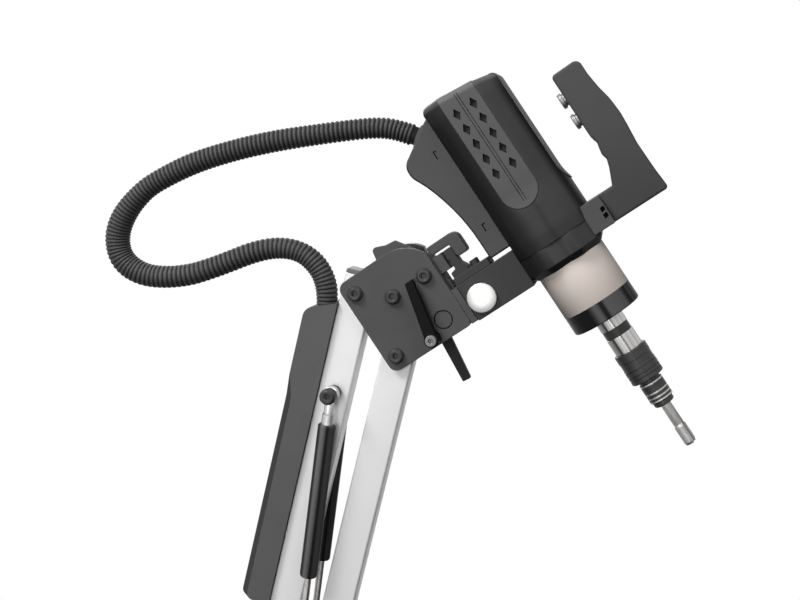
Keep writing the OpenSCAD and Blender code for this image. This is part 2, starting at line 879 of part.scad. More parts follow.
module roll_shaft() {
    face = head_right + flange_t;
    color("dimgray") in_head() difference() {
        union() {
            translate([0, 0, -roll_drop]) {
                x_bar(roll_stub_r, roll_start, head_right + 1);
                x_bar(roll_r, head_right + 1, block_left + roll_len);
            }
            box([head_right, -block_half, head_bottom], [face, block_half, block_top]);
            box([head_right, -8, block_top], [head_right + neck_t, 8, boss_z - boss_half]);
            box([head_right, -boss_half - 2, boss_z - boss_half],
                [head_right + boss_len, boss_half + 2, boss_z + boss_half]);
        }
        translate([0, 0, boss_z]) x_bar(pin_r + run_gap, head_right - 1, head_right + boss_len + 1);
    }
}

module near_clamp_lever() {
    color("black") in_head() at(lever_spot, -12) clamp_lever(lever_len);
}

module far_clamp_lever() {
    color("black") in_head() at(lever_spot, 174) rotate([0, 0, 180])
        clamp_lever(far_lever_len);
}

module star_knob() {
    stem_end = plate_out + face_gap;
    front = stem_end + bolt_head_h + 2;
    hub_r = star_r / 3;
    color("dimgray") in_head() at(star_spot) difference() {
        union() {
            y_bar(star_stem_r, 4, stem_end);
            y_bar(hub_r, stem_end, front);
            y_bar(star_r, front, front + 16);
        }
        for (i = [0 : star_grooves - 1]) at((star_r + 3) * dir(80 + i * 360 / star_grooves))
            y_bar(star_groove_r, front - 1, front + 17);
    }
}

module clamp_block() {
    color("dimgray") in_head() difference() {
        box([block_left, -block_half, block_bottom], [block_right, block_half, block_top]);
        translate([0, 0, -roll_drop]) x_bar(roll_r + run_gap, block_left - 1, block_left + roll_len + 2);
        at([plug_x, plug_z]) y_bar(plug_r + run_gap, -block_half - 1, plug_in + 0.5);
    }
}

module index_plate() {
    color("dimgray") in_head() difference() {
        union() {
            box([index_left, -block_half + 4, block_top], [index_right, block_half - 4, index_top]);
            slab(-boss_half, boss_half) polygon([
                [index_left + 1, index_top - 1], [index_left + 1, index_top + 7],
                [guide_left, index_top + 9], [guide_left, boss_z + boss_half],
                [guide_right, boss_z + boss_half], [guide_right, boss_z - boss_half],
                [guide_right + 5, index_top + 4], [guide_right + 5, index_top - 1]
            ]);
            translate([index_nut_x, 0, index_top - 1]) cylinder(r = 6, h = 8.5, $fn = 6);
        }
        translate([0, 0, boss_z]) x_bar(plunger_r + run_gap, guide_left - 1, guide_right + 1);
    }
}

module plunger_handle() {
    color("dimgray") in_head() {
        translate([0, 0, boss_z]) {
            x_bar(pin_r, head_right + boss_len + face_gap, guide_left - 2);
            x_bar(plunger_r, guide_left - 2, guide_right + face_gap);
        }
        slab(-j_half, j_half) polygon(concat(
            [[j_left, j_top], [j_left, j_top - j_bar], [j_right - j_leg, j_top - j_bar],
             [guide_right + face_gap, boss_z + boss_half - 1], [guide_right + face_gap, j_bottom]],
            [[j_right, j_bottom]],
            arc([j_right - 12, j_top - 12], 12, 0, 90)
        ));
    }
}

module brake_plug() {
    color("silver") in_head() at([plug_x, plug_z]) difference() {
        y_bar(plug_r, -block_half - plug_out, plug_in);
        translate([0, 0, -roll_drop - plug_z]) x_bar(roll_r + face_gap, -plug_r - 1, plug_r + 1);
    }
}

module housing_left() {
    color("dimgray") in_head() intersection() {
        housing_casing();
        box([axis_x - 2 * house_half, -2 * house_half, seam_z], [axis_x, 2 * house_half, house_top + 1]);
    }
}

module housing_right() {
    color("dimgray") in_head() intersection() {
        housing_casing();
        box([axis_x, -2 * house_half, seam_z], [axis_x + 2 * house_half, 2 * house_half, house_top + 1]);
    }
}

module housing_base() {
    rim = base_bottom + base_chamfer;
    color("dimgray") in_head() translate([axis_x, 0, 0]) difference() {
        union() {
            translate([0, 0, rim]) linear_extrude(seam_z - rim) house_section();
            hull() {
                translate([0, 0, rim]) linear_extrude(0.1) house_section();
                translate([0, 0, base_bottom]) linear_extrude(0.1) house_section(-base_chamfer);
            }
        }
        translate([0, 0, base_bottom - 1]) cylinder(r = spigot_r + bolt_gap, h = house_base_h + 2);
    }
}

module servo_motor() {
    color("gray") in_head() translate([axis_x, 0, seam_z]) {
        cylinder(r = motor_r, h = motor_h);
        translate([0, 0, -20]) cylinder(r = motor_shaft_r, h = 20);
    }
}

module cable_box() {
    outline = concat(
        [[block_right, box_bottom], [160, box_bottom], [160, -18], [157.5, 6], [152.5, 30], [143.5, 58]],
        [[136.5, 71], [134, 77], [134, 84], [136, 90], [141, 95], [158, 105], [177, 118]],
        [[block_right, 123.5]]
    );
    inner = concat(
        [[block_right + 1, box_bottom + 3], [163, box_bottom + 3], [163, -18], [160.5, 6]],
        [[155.5, 30], [146.5, 59], [139, 74], [138.5, 86], [143, 92], [160, 102], [178, 114]],
        [[block_right + 1, 120]]
    );
    color("dimgray") in_head() difference() {
        slab(-box_half, box_half) polygon(outline);
        slab(-box_half + 2.5, box_half - 2.5) polygon(inner);
        at(conduit_route[0], box_gland_angle) x_bar(gland_r + bolt_gap, -box_gland_depth - 2, 10);
        for (p = [[174.5, 82], [175.5, -20]]) at(p) both_sides() translate([0, -box_half, 0])
            box([-1, -1, -5], [1, 1.5, 5]);
    }
}

module motor_gland() {
    color("black") in_head() at(conduit_route[0], box_gland_angle) gland(box_gland_depth);
}

module handle_bracket() {
    color("dimgray") in_head() difference() {
        box([bracket_left, -bracket_half, bracket_bottom], [bracket_right, bracket_half, bracket_top]);
        translate([axis_x, 0, bracket_bottom - 1]) linear_extrude(bracket_top - bracket_bottom + 2)
            house_section();
        for (z = [-77, -85]) translate([bracket_right - 4, -bracket_half, z])
            box([-2.5, -1, -2], [2.5, 4, 2]);
    }
}

module handle_grip() {
    g = grip_left;
    r = grip_right;
    color("dimgray") in_head() difference() {
        slab(-grip_half, grip_half) polygon(concat(
            [[bracket_right, bracket_bottom], [bracket_right, bracket_top], [g - 10, bracket_top]],
            [[g - 6, -52], [g - 2, -42], [g + 1.5, -32], [g, -25], [g + 1.5, -15], [g + 2.5, -11], [g, -2]],
            arc([g + 5, grip_top - 5], 5, 180, 90),
            arc([r - 13, grip_top - 8], 8, 90, 0),
            [[r - 5, 60], [r - 3, 41], [r, 23], [r + 1.5, 3], [r + 0.5, -14], [r - 1.5, -36]],
            [[r - 1, -70], [r + 0.5, bracket_bottom]]
        ));
        for (z = button_spots) translate([0, 0, z])
            x_bar(button_r - 2 + run_gap, g - 1, g + 14 + button_travel + face_gap);
    }
}

// Push button in the inner side of the grip: stem in its hole and a wider cap
module push_button(z) {
    color("silver") in_head() translate([0, 0, z]) {
        x_bar(button_r - 2, grip_left - 1 - button_travel, grip_left + 14);
        x_bar(button_r, grip_left - 5 - button_travel, grip_left - face_gap - button_travel);
    }
}

module start_button() {
    push_button(button_spots[0]);
}

module reverse_button() {
    push_button(button_spots[1]);
}

module gearbox() {
    color("tan") in_head() translate([axis_x, 0, 0]) difference() {
        union() {
            translate([0, 0, gear_bottom]) cylinder(r = gear_r, h = gear_len);
            translate([0, 0, base_bottom]) cylinder(r = spigot_r, h = spigot_h);
        }
        translate([0, 0, gear_bottom - 1]) cylinder(r = bearing_r + bolt_gap, h = bearing_h + 7);
        translate([0, 0, gear_bottom]) cylinder(r = motor_shaft_r + 0.5, h = gear_len + 20);
    }
}

module gearbox_collar() {
    color("black") in_head() translate([axis_x, 0, collar_bottom]) difference() {
        cylinder(r = gear_r, h = gear_collar_len);
        translate([0, 0, -1]) cylinder(r = spindle_r + 1, h = gear_collar_len + 2);
    }
}

module spindle_bearing() {
    color("gray") in_head() translate([axis_x, 0, gear_bottom]) difference() {
        cylinder(r = bearing_r, h = bearing_h);
        translate([0, 0, -1]) cylinder(r = spindle_r + run_gap, h = bearing_h + 2);
    }
}

module spindle() {
    shoulder = groove_top - groove_len;
    color("silver") in_head() translate([axis_x, 0, 0]) difference() {
        union() {
            translate([0, 0, groove_top]) cylinder(r = spindle_r, h = spindle_top - groove_top);
            translate([0, 0, shoulder]) cylinder(r = spindle_r - 0.5, h = groove_len);
            translate([0, 0, spindle_bottom]) cylinder(r = spindle_r, h = shoulder - spindle_bottom);
            translate([0, 0, chuck_bottom]) cylinder(r = chuck_seat_r, h = collar_len);
        }
        translate([0, 0, chuck_bottom - 1]) cylinder(r = chuck_bore_r - 1, h = collar_len - 3);
    }
}

module chuck_collar() {
    color("black") in_head() translate([axis_x, 0, 0]) difference() {
        translate([0, 0, chuck_bottom]) cylinder(r = collar_r, h = collar_len);
        translate([0, 0, chuck_bottom - 1]) cylinder(r = chuck_seat_r + run_gap, h = collar_len + 2);
        for (z = [4, 9, 15]) translate([0, 0, chuck_bottom + z]) difference() {
            cylinder(r = collar_r + 1, h = 1.2);
            translate([0, 0, -1]) cylinder(r = collar_r - 0.8, h = 4);
        }
    }
}

module tap_collet() {
    color("dimgray") in_head() translate([axis_x, 0, 0]) difference() {
        union() {
            translate([0, 0, chuck_bottom - 4]) cylinder(r = chuck_bore_r - 1 - 0.1, h = 30);
            translate([0, 0, collet_bottom]) cylinder(r = collet_r, h = collet_len - 4);
            translate([0, 0, ring_bottom]) cylinder(r = collet_r - 1.5, h = 6);
        }
        translate([0, 0, ring_bottom - 1]) cylinder(r = shank_r + 0.1, h = 40);
    }
}

module tap() {
    flute_r = 3;
    tip = 4;
    color("silver") in_head() translate([axis_x, 0, 0]) difference() {
        union() {
            translate([0, 0, shank_bottom]) cylinder(r = shank_r, h = ring_bottom + 38 - shank_bottom);
            translate([0, 0, shank_bottom - tap_len + 8]) cylinder(r = tap_r, h = tap_len - 8);
            translate([0, 0, shank_bottom - tap_len]) cylinder(r1 = tap_r - 2, r2 = tap_r, h = 8);
        }
        for (a = [0 : 90 : 270]) rotate([0, 0, a])
            translate([tap_r, 0, shank_bottom - tap_len - 1]) cylinder(r = flute_r, h = tap_len + tip);
    }
}

// Smooth curve through four route points, t from 0 to 1 between the middle two
function spline(a, b, c, d, t) = 0.5 * (2 * b + (c - a) * t + (2 * a - 5 * b + 4 * c - d) * t * t
    + (3 * b - a - 3 * c + d) * t * t * t);

// Route of the conduit with extra points between the chosen ones
function route_points(p, n) = concat(
    [for (i = [0 : len(p) - 2], k = [0 : n - 1])
        spline(p[max(i - 1, 0)], p[i], p[i + 1], p[min(i + 2, len(p) - 1)], k / n)],
    [p[len(p) - 1]]
);

module conduit() {
    p = route_points(conduit_route, conduit_steps);
    last = len(p) - 1;
    n = conduit_sides;
    // Ring of points round each route point, square to the route
    rings = [for (i = [0 : last])
        let (
            a = i == 0 ? box_gland_angle
                : i == last ? arm_gland_angle + 180
                : aim(p[i - 1], p[i + 1])
        )
        for (k = [0 : n - 1])
            let (w = 360 * k / n, side = p[i][2] * cos(w))
                [p[i][0] - side * sin(a), p[i][2] * sin(w), p[i][1] + side * cos(a)]
    ];
    walls = [for (i = [0 : last - 1], k = [0 : n - 1])
        let (j = (k + 1) % n) [i * n + k, i * n + j, (i + 1) * n + j, (i + 1) * n + k]];
    caps = [[for (k = [n - 1 : -1 : 0]) k], [for (k = [0 : n - 1]) last * n + k]];
    color("dimgray") in_head() polyhedron(points = rings, faces = concat(walls, caps));
}

base_plate();
swivel_post();
post_screws();
turret();
shoulder_plates();
shoulder_bolts();
swivel_lock_lever();
lower_main_tube();
lower_main_caps();
lower_gas_studs();
lower_cable_cover();
lower_link_tube();
lower_link_caps();
lower_gas_cylinders();
lower_gas_rods();
elbow_plates();
elbow_spacers();
elbow_bolts();
upper_main_tube();
upper_main_caps();
upper_gas_studs();
upper_cable_cover();
arm_gland();
upper_link_tube();
upper_link_caps();
upper_gas_cylinders();
upper_gas_rods();
head_plate_near();
head_plate_far();
head_block();
head_bolts();
roll_shaft();
near_clamp_lever();
far_clamp_lever();
star_knob();
clamp_block();
index_plate();
plunger_handle();
brake_plug();
housing_left();
housing_right();
housing_base();
servo_motor();
cable_box();
motor_gland();
handle_bracket();
handle_grip();
start_button();
reverse_button();
gearbox();
gearbox_collar();
spindle_bearing();
spindle();
chuck_collar();
tap_collet();
tap();
conduit();
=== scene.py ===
"""Electric tapping machine on a two-stage parallelogram arm: the looks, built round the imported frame.

Lengths are in millimetres from a pivot of the frame, unless a line says metres; piece() makes them metres.
"""

import json
import math

import bmesh
import bpy
import numpy as np
from mathutils import Matrix, Vector


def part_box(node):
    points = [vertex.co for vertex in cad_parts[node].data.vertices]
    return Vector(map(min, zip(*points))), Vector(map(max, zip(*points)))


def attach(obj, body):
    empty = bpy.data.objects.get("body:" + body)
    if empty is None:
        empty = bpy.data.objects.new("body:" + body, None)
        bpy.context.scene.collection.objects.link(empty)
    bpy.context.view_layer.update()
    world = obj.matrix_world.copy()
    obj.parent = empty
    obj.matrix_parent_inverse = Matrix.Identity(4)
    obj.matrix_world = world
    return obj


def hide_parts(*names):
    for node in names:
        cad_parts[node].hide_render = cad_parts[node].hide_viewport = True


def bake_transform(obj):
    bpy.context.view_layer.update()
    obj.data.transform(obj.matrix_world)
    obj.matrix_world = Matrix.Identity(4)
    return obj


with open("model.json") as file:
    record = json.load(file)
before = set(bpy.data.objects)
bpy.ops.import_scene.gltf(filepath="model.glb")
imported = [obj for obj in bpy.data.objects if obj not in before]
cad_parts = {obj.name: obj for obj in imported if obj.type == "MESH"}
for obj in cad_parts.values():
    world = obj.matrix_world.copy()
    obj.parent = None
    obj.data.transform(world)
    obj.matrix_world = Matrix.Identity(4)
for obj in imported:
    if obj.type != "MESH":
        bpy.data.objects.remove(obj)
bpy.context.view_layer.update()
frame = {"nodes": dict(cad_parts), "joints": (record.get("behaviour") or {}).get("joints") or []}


# ------------------------ camera and light
# The camera stands a little to the right of the head, level with it and turned on its side.
# Soft lamps stand to the right, above, in front and behind, in a room that is white to the eye.
MM = 0.001
joints = {j["name"]: j for j in frame["joints"]}


def pivot(joint):
    """(x, z) of a joint in millimetres."""
    return np.array(joints[joint]["pos_m"])[[0, 2]] / MM


def direction(degrees):
    """(cos, sin) of an angle."""
    return np.array([math.cos(math.radians(degrees)), math.sin(math.radians(degrees))])


HEAD = pivot("head_level")
ORIGIN = np.array([HEAD[0], 0, HEAD[1]])
LENS, SENSOR, ROLL, YAW, REACH = 48.6, 36.0, 33.5, 14.5, 1317.0
(cos_roll, sin_roll), (cos_yaw, sin_yaw) = direction(ROLL), direction(YAW)
target = ORIGIN + [35.9, 0, -36.1]
eye = target + REACH * np.array([sin_yaw, -cos_yaw, 0])
right, up = np.array([cos_yaw, sin_yaw, 0]), np.array([0, 0, 1.0])
cam_x, cam_y = cos_roll * right - sin_roll * up, sin_roll * right + cos_roll * up
axes = np.array([cam_x, cam_y, np.cross(cam_x, cam_y)]).T
camera = bpy.data.objects.new("camera", bpy.data.cameras.new("camera"))
bpy.context.scene.collection.objects.link(camera)
camera.matrix_world = Matrix([[*row, e * MM] for row, e in zip(axes, eye)] + [[0, 0, 0, 1]])
camera.data.lens, camera.data.sensor_width = LENS, SENSOR
camera.data.clip_start, camera.data.clip_end = 0.05, 50
bpy.context.scene.camera = camera
bpy.context.scene.view_settings.view_transform = "Standard"


def lamp(name, azimuth, elevation, distance, width, height, power):
    """Area lamp aimed at the head from `distance` metres, azimuth 0 being the viewer's side."""
    (cos_a, sin_a), (cos_e, sin_e) = direction(azimuth), direction(elevation)
    away = Vector((sin_a * cos_e, -cos_a * cos_e, sin_e))
    data = bpy.data.lights.new(name, "AREA")
    data.shape, data.size, data.size_y, data.energy = "RECTANGLE", width, height, power
    o = bpy.data.objects.new(name, data)
    bpy.context.scene.collection.objects.link(o)
    o.location = Vector(target * MM) + away * distance
    o.rotation_euler = away.to_track_quat("Z", "Y").to_euler()


lamp("key", 62, 24, 3.6, 1.8, 2.2, 50)
lamp("front", -2, 8, 3.6, 1.4, 1.4, 60)
lamp("overhead", -6, 62, 3.0, 1.0, 1.0, 90)
lamp("back", 190, 30, 3.6, 2.0, 2.0, 60)


def feed(tree, socket, value):
    """Sets an input socket to a plain value, or links it to a node or to a node's output."""
    if isinstance(value, bpy.types.Node):
        value = value.outputs[0]
    if isinstance(value, bpy.types.NodeSocket):
        tree.links.new(value, socket)
    else:
        socket.default_value = value


def node(tree, kind, *values, **named):
    """New shader node, with its inputs fed in order or by name."""
    n = tree.nodes.new(kind)
    for key, value in [*enumerate(values), *named.items()]:
        feed(tree, n.inputs[key if isinstance(key, int) else key.replace("_", " ")], value)
    return n


PLAIN_WHITE, ROOM_LIGHT = (1, 1, 1, 1), 0.04
world = bpy.data.worlds.new("studio")
bpy.context.scene.world = world
world.use_nodes = True
sky = world.node_tree
sky.nodes.clear()
ways = node(sky, "ShaderNodeLightPath").outputs
seen = ways["Is Camera Ray"]
for other in ("Is Glossy Ray", "Is Transmission Ray"):
    seen = node(sky, "ShaderNodeMath", seen, ways[other])
    seen.operation, seen.use_clamp = "ADD", True
rooms = [node(sky, "ShaderNodeBackground", PLAIN_WHITE, strength) for strength in (ROOM_LIGHT, 1.0)]
node(sky, "ShaderNodeOutputWorld", node(sky, "ShaderNodeMixShader", seen, *rooms))


# ------------------------ conduit
# Corrugated nylon hose from the gland on the cable box to the gland on the arm cover. It stands in
# a free arch, held by its own stiffness. It is made in two parts, split at its leftmost point, and
# neither rides on a body.
def colour(tone):
    """Linear colour from one grey level, or from three, of 0 to 255 as a screen shows them."""
    v = np.broadcast_to(tone, 3) / 255
    return (*np.where(v <= 0.04045, v / 12.92, ((v + 0.055) / 1.055) ** 2.4).tolist(), 1)


def surface(name, tone, rough=0.5, metal=0.0, level=0.5, grain=0.0, grain_size=0.6, mottle=0.08,
            mottle_size=40.0, brushed=None, streaks=0.0, soften=0.0, shaded=False):
    """Procedural material: base colour with cloudy variation, grain as bump, and brushing along one axis.

    grain       depth of the surface grain in millimetres
    grain_size  size of its cells in millimetres
    mottle      share by which the colour wanders over patches mottle_size millimetres wide
    brushed     axis (0, 1, 2) round which a turned finish runs, or None
    streaks     share by which lengthwise lines along z darken the colour: painted reflections on turned steel
    soften      radius in millimetres over which edges catch the light
    shaded      whether the mesh's "shade", 0 to 1, darkens the colour as painted shade, reflection and highlight
    """
    m = bpy.data.materials.new(name)
    m.use_nodes = True
    t = m.node_tree
    where = node(t, "ShaderNodeTexCoord").outputs["Object"]

    def noise(scale, detail, vector=where):
        return node(t, "ShaderNodeTexNoise", Vector=vector, Scale=scale, Detail=detail)

    def stretched(*scale):
        return node(t, "ShaderNodeMapping", Vector=where, Scale=scale)

    def ramp(fac, *stops):
        n = node(t, "ShaderNodeValToRGB", fac)
        for element, (at, tones) in zip(n.color_ramp.elements, stops):
            element.position, element.color = at, [min(1, c) for c in tones] + [1]
        return n

    def ranged(value, low, high):
        return node(t, "ShaderNodeMapRange", Value=value, To_Min=low, To_Max=high)

    def times(a, b):
        n = t.nodes.new("ShaderNodeMix")
        n.data_type, n.blend_type = "RGBA", "MULTIPLY"
        for socket, value in zip([i for i in n.inputs if i.enabled], (1.0, a, b)):
            feed(t, socket, value)
        return next(o for o in n.outputs if o.enabled)

    def bump(height, strength, distance, under):
        return node(t, "ShaderNodeBump", Height=height, Strength=strength, Distance=distance * MM,
                    **({"Normal": under} if under else {}))

    base = np.array(colour(tone)[:3])
    cloud = noise(1000 / mottle_size, 4)
    paint = ramp(cloud, (0.3, base * (1 - mottle)), (0.7, base * (1 + mottle)))
    # Painted reflections: lengthwise dark lines along z.
    if streaks:
        lines = noise(1, 2, stretched(420, 420, 4))
        paint = times(paint, ramp(lines, (0.36, [1 - streaks] * 3), (0.56, [1] * 3)))
    # Painted shade: the mesh's "shade" attribute darkens the colour here.
    if shaded:
        stored = node(t, "ShaderNodeAttribute")
        stored.attribute_name = "shade"
        paint = times(paint, ranged(stored.outputs["Fac"], 1.0, 0.08))
    normal = None
    if soften:
        normal = node(t, "ShaderNodeBevel", soften * MM)
        normal.samples = 6
    if brushed is not None:
        fine = [30.0, 30.0, 30.0]
        fine[brushed] = 5200.0
        normal = bump(noise(1, 3, stretched(*fine)), 0.12, 0.01, normal)
    if grain:
        normal = bump(noise(1000 / grain_size, 2), 0.6, grain, normal)
    finish = {"Metallic": metal, "Specular IOR Level": level, "Base Color": paint,
              "Roughness": ranged(cloud, max(0.03, rough * 0.88), min(1, rough * 1.12))}
    if normal:
        finish["Normal"] = normal
    for key, value in finish.items():
        feed(t, t.nodes["Principled BSDF"].inputs[key], value)
    return m


def skin(rings, closed=False, caps=True):
    """(points, faces) of rings of (x, y, z) points, each joined to the next by quads, and its ends capped."""
    rings = np.array(rings, float)
    k, n = rings.shape[:2]
    i, j = np.meshgrid(np.arange(k if closed else k - 1), np.arange(n), indexing="ij")
    a, b, nxt = i * n, (i + 1) % k * n, (j + 1) % n
    faces = np.stack([a + j, a + nxt, b + nxt, b + j], -1).reshape(-1, 4).tolist()
    if caps and not closed:
        faces += [list(range(n))[::-1], list(range((k - 1) * n, k * n))]
    return rings.reshape(-1, 3), faces


def moved(shape, matrix):
    """The shape with a 4 by 4 matrix applied to its points."""
    points, faces = shape
    return (np.c_[points, np.ones(len(points))] @ np.array(matrix).T)[:, :3], faces


def smooth(mesh, sharp):
    """Shades a mesh smooth, apart from edges that turn more than `sharp` degrees."""
    mesh.polygons.foreach_set("use_smooth", [True] * len(mesh.polygons))
    mesh.set_sharp_from_angle(angle=math.radians(sharp))


def piece(name, shapes, material, body, at=None, stands_for=(), sharp=38):
    """Mesh object of one or more shapes in millimetres, placed by the matrix `at`, riding on a body."""
    points, faces, count = [], [], 0
    for p, f in [shapes] if isinstance(shapes, tuple) else shapes:
        points.append(p)
        faces += [[v + count for v in face] for face in f]
        count += len(p)
    points = np.vstack(points)
    if at is not None:
        points, faces = moved((points, faces), at)
    mesh = bpy.data.meshes.new(name)
    mesh.from_pydata((points * MM).tolist(), [], faces)
    bm = bmesh.new()
    bm.from_mesh(mesh)
    bmesh.ops.remove_doubles(bm, verts=bm.verts, dist=1e-6)
    bmesh.ops.recalc_face_normals(bm, faces=bm.faces)
    bm.to_mesh(mesh)
    bm.free()
    smooth(mesh, sharp)
    mesh.materials.append(material)
    o = bpy.data.objects.new(name, mesh)
    bpy.context.scene.collection.objects.link(o)
    if body:
        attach(o, body)
    if stands_for:
        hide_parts(*([stands_for] if isinstance(stands_for, str) else stands_for))
    return o


def shade(o, share):
    """Stores painted shade, a share from 0 to 1 by which the colour darkens, at every point: an array, or
    share(x, y, z) from the head pivot.
    """
    if callable(share):
        spots = np.empty(3 * len(o.data.vertices))
        o.data.vertices.foreach_get("co", spots)
        share = share(*(spots.reshape(-1, 3) / MM - ORIGIN).T)
    stored = o.data.attributes.new("shade", "FLOAT", "POINT")
    stored.data.foreach_set("value", np.clip(share, 0.0, 1.0))


# The hose's colour carries painted shade in its grooves and on its underside.
HOSE = surface("hose_nylon", 78, 0.55, level=0.1, grain=0.02, grain_size=0.8, mottle=0.08, shaded=True)
# Route from the head pivot and the hose's radius there, in metres; it swells where it is pressed together.
ROUTE = np.array([
    [.165, .114, .013], [.1485, .1345, .01275], [.1335, .148, .01275], [.110, .1625, .01275],
    [.061, .188, .013], [.0115, .212, .0135], [-.0405, .233, .0135], [-.0925, .249, .01375],
    [-.146, .2575, .0135], [-.176, .256, .014], [-.2035, .2485, .01525], [-.224, .236, .01575],
    [-.236, .220, .01575], [-.240, .203, .01575], [-.2355, .1855, .0155], [-.223, .168, .01475],
    [-.2015, .1515, .01425], [-.175, .138, .014], [-.147, .129, .01375], [-.119, .122, .01375],
    [-.092, .1155, .01375], [-.0665, .106, .0135], [-.0475, .0935, .01325], [-.035, .0785, .01325],
    [-.029, .0615, .01375], [-.0285, .044, .01375], [-.034, .026, .01375], [-.0455, .0085, .013]])
ROUTE[:, :2] += HEAD * MM
HOSE_R, RIB_STEP, HOSE_SIDES, LOOK = 0.013, 0.0006, 28, 0.002
# Depth of the grooves, less where the hose is bent: (distance in metres, depth).
RIB_DEEP = np.array([[.34, .0020], [.40, .0011], [.57, .0011], [.61, .0020], [.66, .0020], [.70, .0010]])
# Grooves counted along the hose: (distance in metres, grooves passed).
GROOVES = np.array([
    [.0062, 0], [.0358, 6], [.068, 12], [.1025, 18], [.1372, 24], [.2065, 36], [.2752, 48], [.3438, 60],
    [.3768, 66], [.4082, 72], [.437, 78], [.4638, 84], [.4938, 90], [.5285, 96], [.566, 102],
    [.605, 108], [.6435, 114], [.6812, 120], [.7145, 126], [.744, 132], [.7722, 138], [.7978, 143.2]])
# Direction (x, z) in which the hose is lit, and the most by which painted shade darkens it on the side away
# from it.
UPWARD, UNDER_SHADE = (0.55, 0.83), 0.7


def all_round(n):
    """n directions evenly round a circle, in radians."""
    return np.linspace(0, 2 * math.pi, n, endpoint=False)


def open_curve(p, n):
    """Catmull-Rom curve through points b, c: (2b + (c-a)t + (2a-5b+4c-d)t^2 + (3b-a-3c+d)t^3) / 2."""
    q = np.vstack([p[:1], p, p[-1:]])
    a, b, c, d = q[:-3, None], q[1:-2, None], q[2:-1, None], q[3:, None]
    t = (np.arange(n) / n)[None, :, None]
    curve = 2 * b + (c - a) * t + (2 * a - 5 * b + 4 * c - d) * t ** 2 + (3 * b - a - 3 * c + d) * t ** 3
    return np.vstack([curve.reshape(-1, p.shape[1]) / 2, p[-1:]])


line = open_curve(ROUTE, 24)
run = np.r_[0, np.cumsum(np.linalg.norm(np.diff(line[:, :2], axis=0), axis=1))]


def along_route(s):
    """(x, z) of the route's middle at distances s, in metres."""
    return np.stack([np.interp(s, run, line[:, k]) for k in (0, 1)], 1)


def hose(name, s0, s1):
    """Tube round the route from s0 to s1: r(s) = R(s) - d |cos pi w|^4, w counting grooves along it."""
    s = np.r_[np.arange(s0, s1, RIB_STEP), s1]
    at, ahead = along_route(s), along_route(s + LOOK) - along_route(s - LOOK)
    ahead = ahead / np.linalg.norm(ahead, axis=1, keepdims=True)
    groove = np.abs(np.cos(np.pi * np.interp(s, *GROOVES.T)))[:, None] ** 4
    r = np.interp(s, run, line[:, 2])[:, None] - np.interp(s, *RIB_DEEP.T)[:, None] * groove
    t = all_round(HOSE_SIDES)
    over_x, over_z = -ahead[:, 1:] * np.cos(t), ahead[:, :1] * np.cos(t)
    rings = np.stack([at[:, :1] + r * over_x, r * np.sin(t), at[:, 1:] + r * over_z], -1)
    o = piece(name, skin(rings / MM), HOSE, None, stands_for="conduit", sharp=70)
    # Painted shade: darker in the groove bottoms and on the underside, away from the light.
    under = UNDER_SHADE * np.clip((0.3 - UPWARD[0] * over_x - UPWARD[1] * over_z) / 1.3, 0, 1)
    shade(o, (1 - (1 - groove) * (1 - under)).ravel())
    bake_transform(o)


half_way, hose_end = float(run[np.argmin(line[:, 0])]), float(run[-1])
hose("conduit_head_side", 0.0, half_way)
hose("conduit_arm_side", half_way, hose_end)


# ------------------------ head plates and block
# Two powder-coated steel plates, laser cut with one large rounded corner and tumbled edges, on a
# machined block that takes the roll shaft. The near plate has a sight hole over the block's boss,
# and the far one an upright horn.
def place(point=(0, 0), angle=0.0):
    """Matrix that puts local x in the direction `angle` degrees above +x, from an (x, z) point."""
    c, s = direction(angle)
    return np.array([[c, 0, -s, point[0]], [0, 1, 0, 0], [s, 0, c, point[1]], [0, 0, 0, 1.0]])


def head_at(x=0.0, z=0.0, angle=0.0):
    """Matrix of a point in the head, measured from the head pivot."""
    return place(HEAD + [x, z], angle)


def span(name, axis):
    """Lowest and highest of a CAD node along axis 0, 1 or 2, from the head pivot."""
    return np.array([corner[axis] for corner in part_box(name)]) / MM - ORIGIN[axis]


def wound(ring):
    """The ring of (x, z) points, wound anticlockwise."""
    x, z = np.array(ring, float).T
    return np.column_stack([x, z])[::1 if np.sum(x * np.roll(z, -1) - np.roll(x, -1) * z) > 0 else -1]


def corners(points, step=15.0):
    """Closed ring from (x, z, radius) corners: each becomes an arc that touches both its sides."""
    ring = []
    n = len(points)
    for i in range(n):
        a, p, b = (np.array(points[k % n][:2], float) for k in (i - 1, i, i + 1))
        r = points[i][2] if len(points[i]) > 2 else 0
        u, v = a - p, b - p
        long_u, long_v = np.linalg.norm(u), np.linalg.norm(v)
        u, v = u / long_u, v / long_v
        half = math.acos(np.clip(u @ v, -1, 1)) / 2
        if r <= 0 or half > math.radians(89):
            ring.append(p)
            continue
        reach = min(r / math.tan(half), 0.49 * long_u, 0.49 * long_v)
        r = reach * math.tan(half)
        centre = p + (u + v) / np.linalg.norm(u + v) * r / math.sin(half)
        start, end = p + u * reach - centre, p + v * reach - centre
        turn = math.acos(np.clip(start @ end / r / r, -1, 1))
        t = np.linspace(0, 1, max(2, int(math.degrees(turn) / step) + 1) + 1)[:, None]
        ring.extend(centre + (start * np.sin((1 - t) * turn) + end * np.sin(t * turn)) / math.sin(turn))
    return wound(ring)


def arc(centre, r, a0, a1, n=12):
    """Points of an arc, angles in degrees."""
    t = np.radians(np.linspace(a0, a1, n + 1))
    return np.array(centre) + r * np.stack([np.cos(t), np.sin(t)], 1)


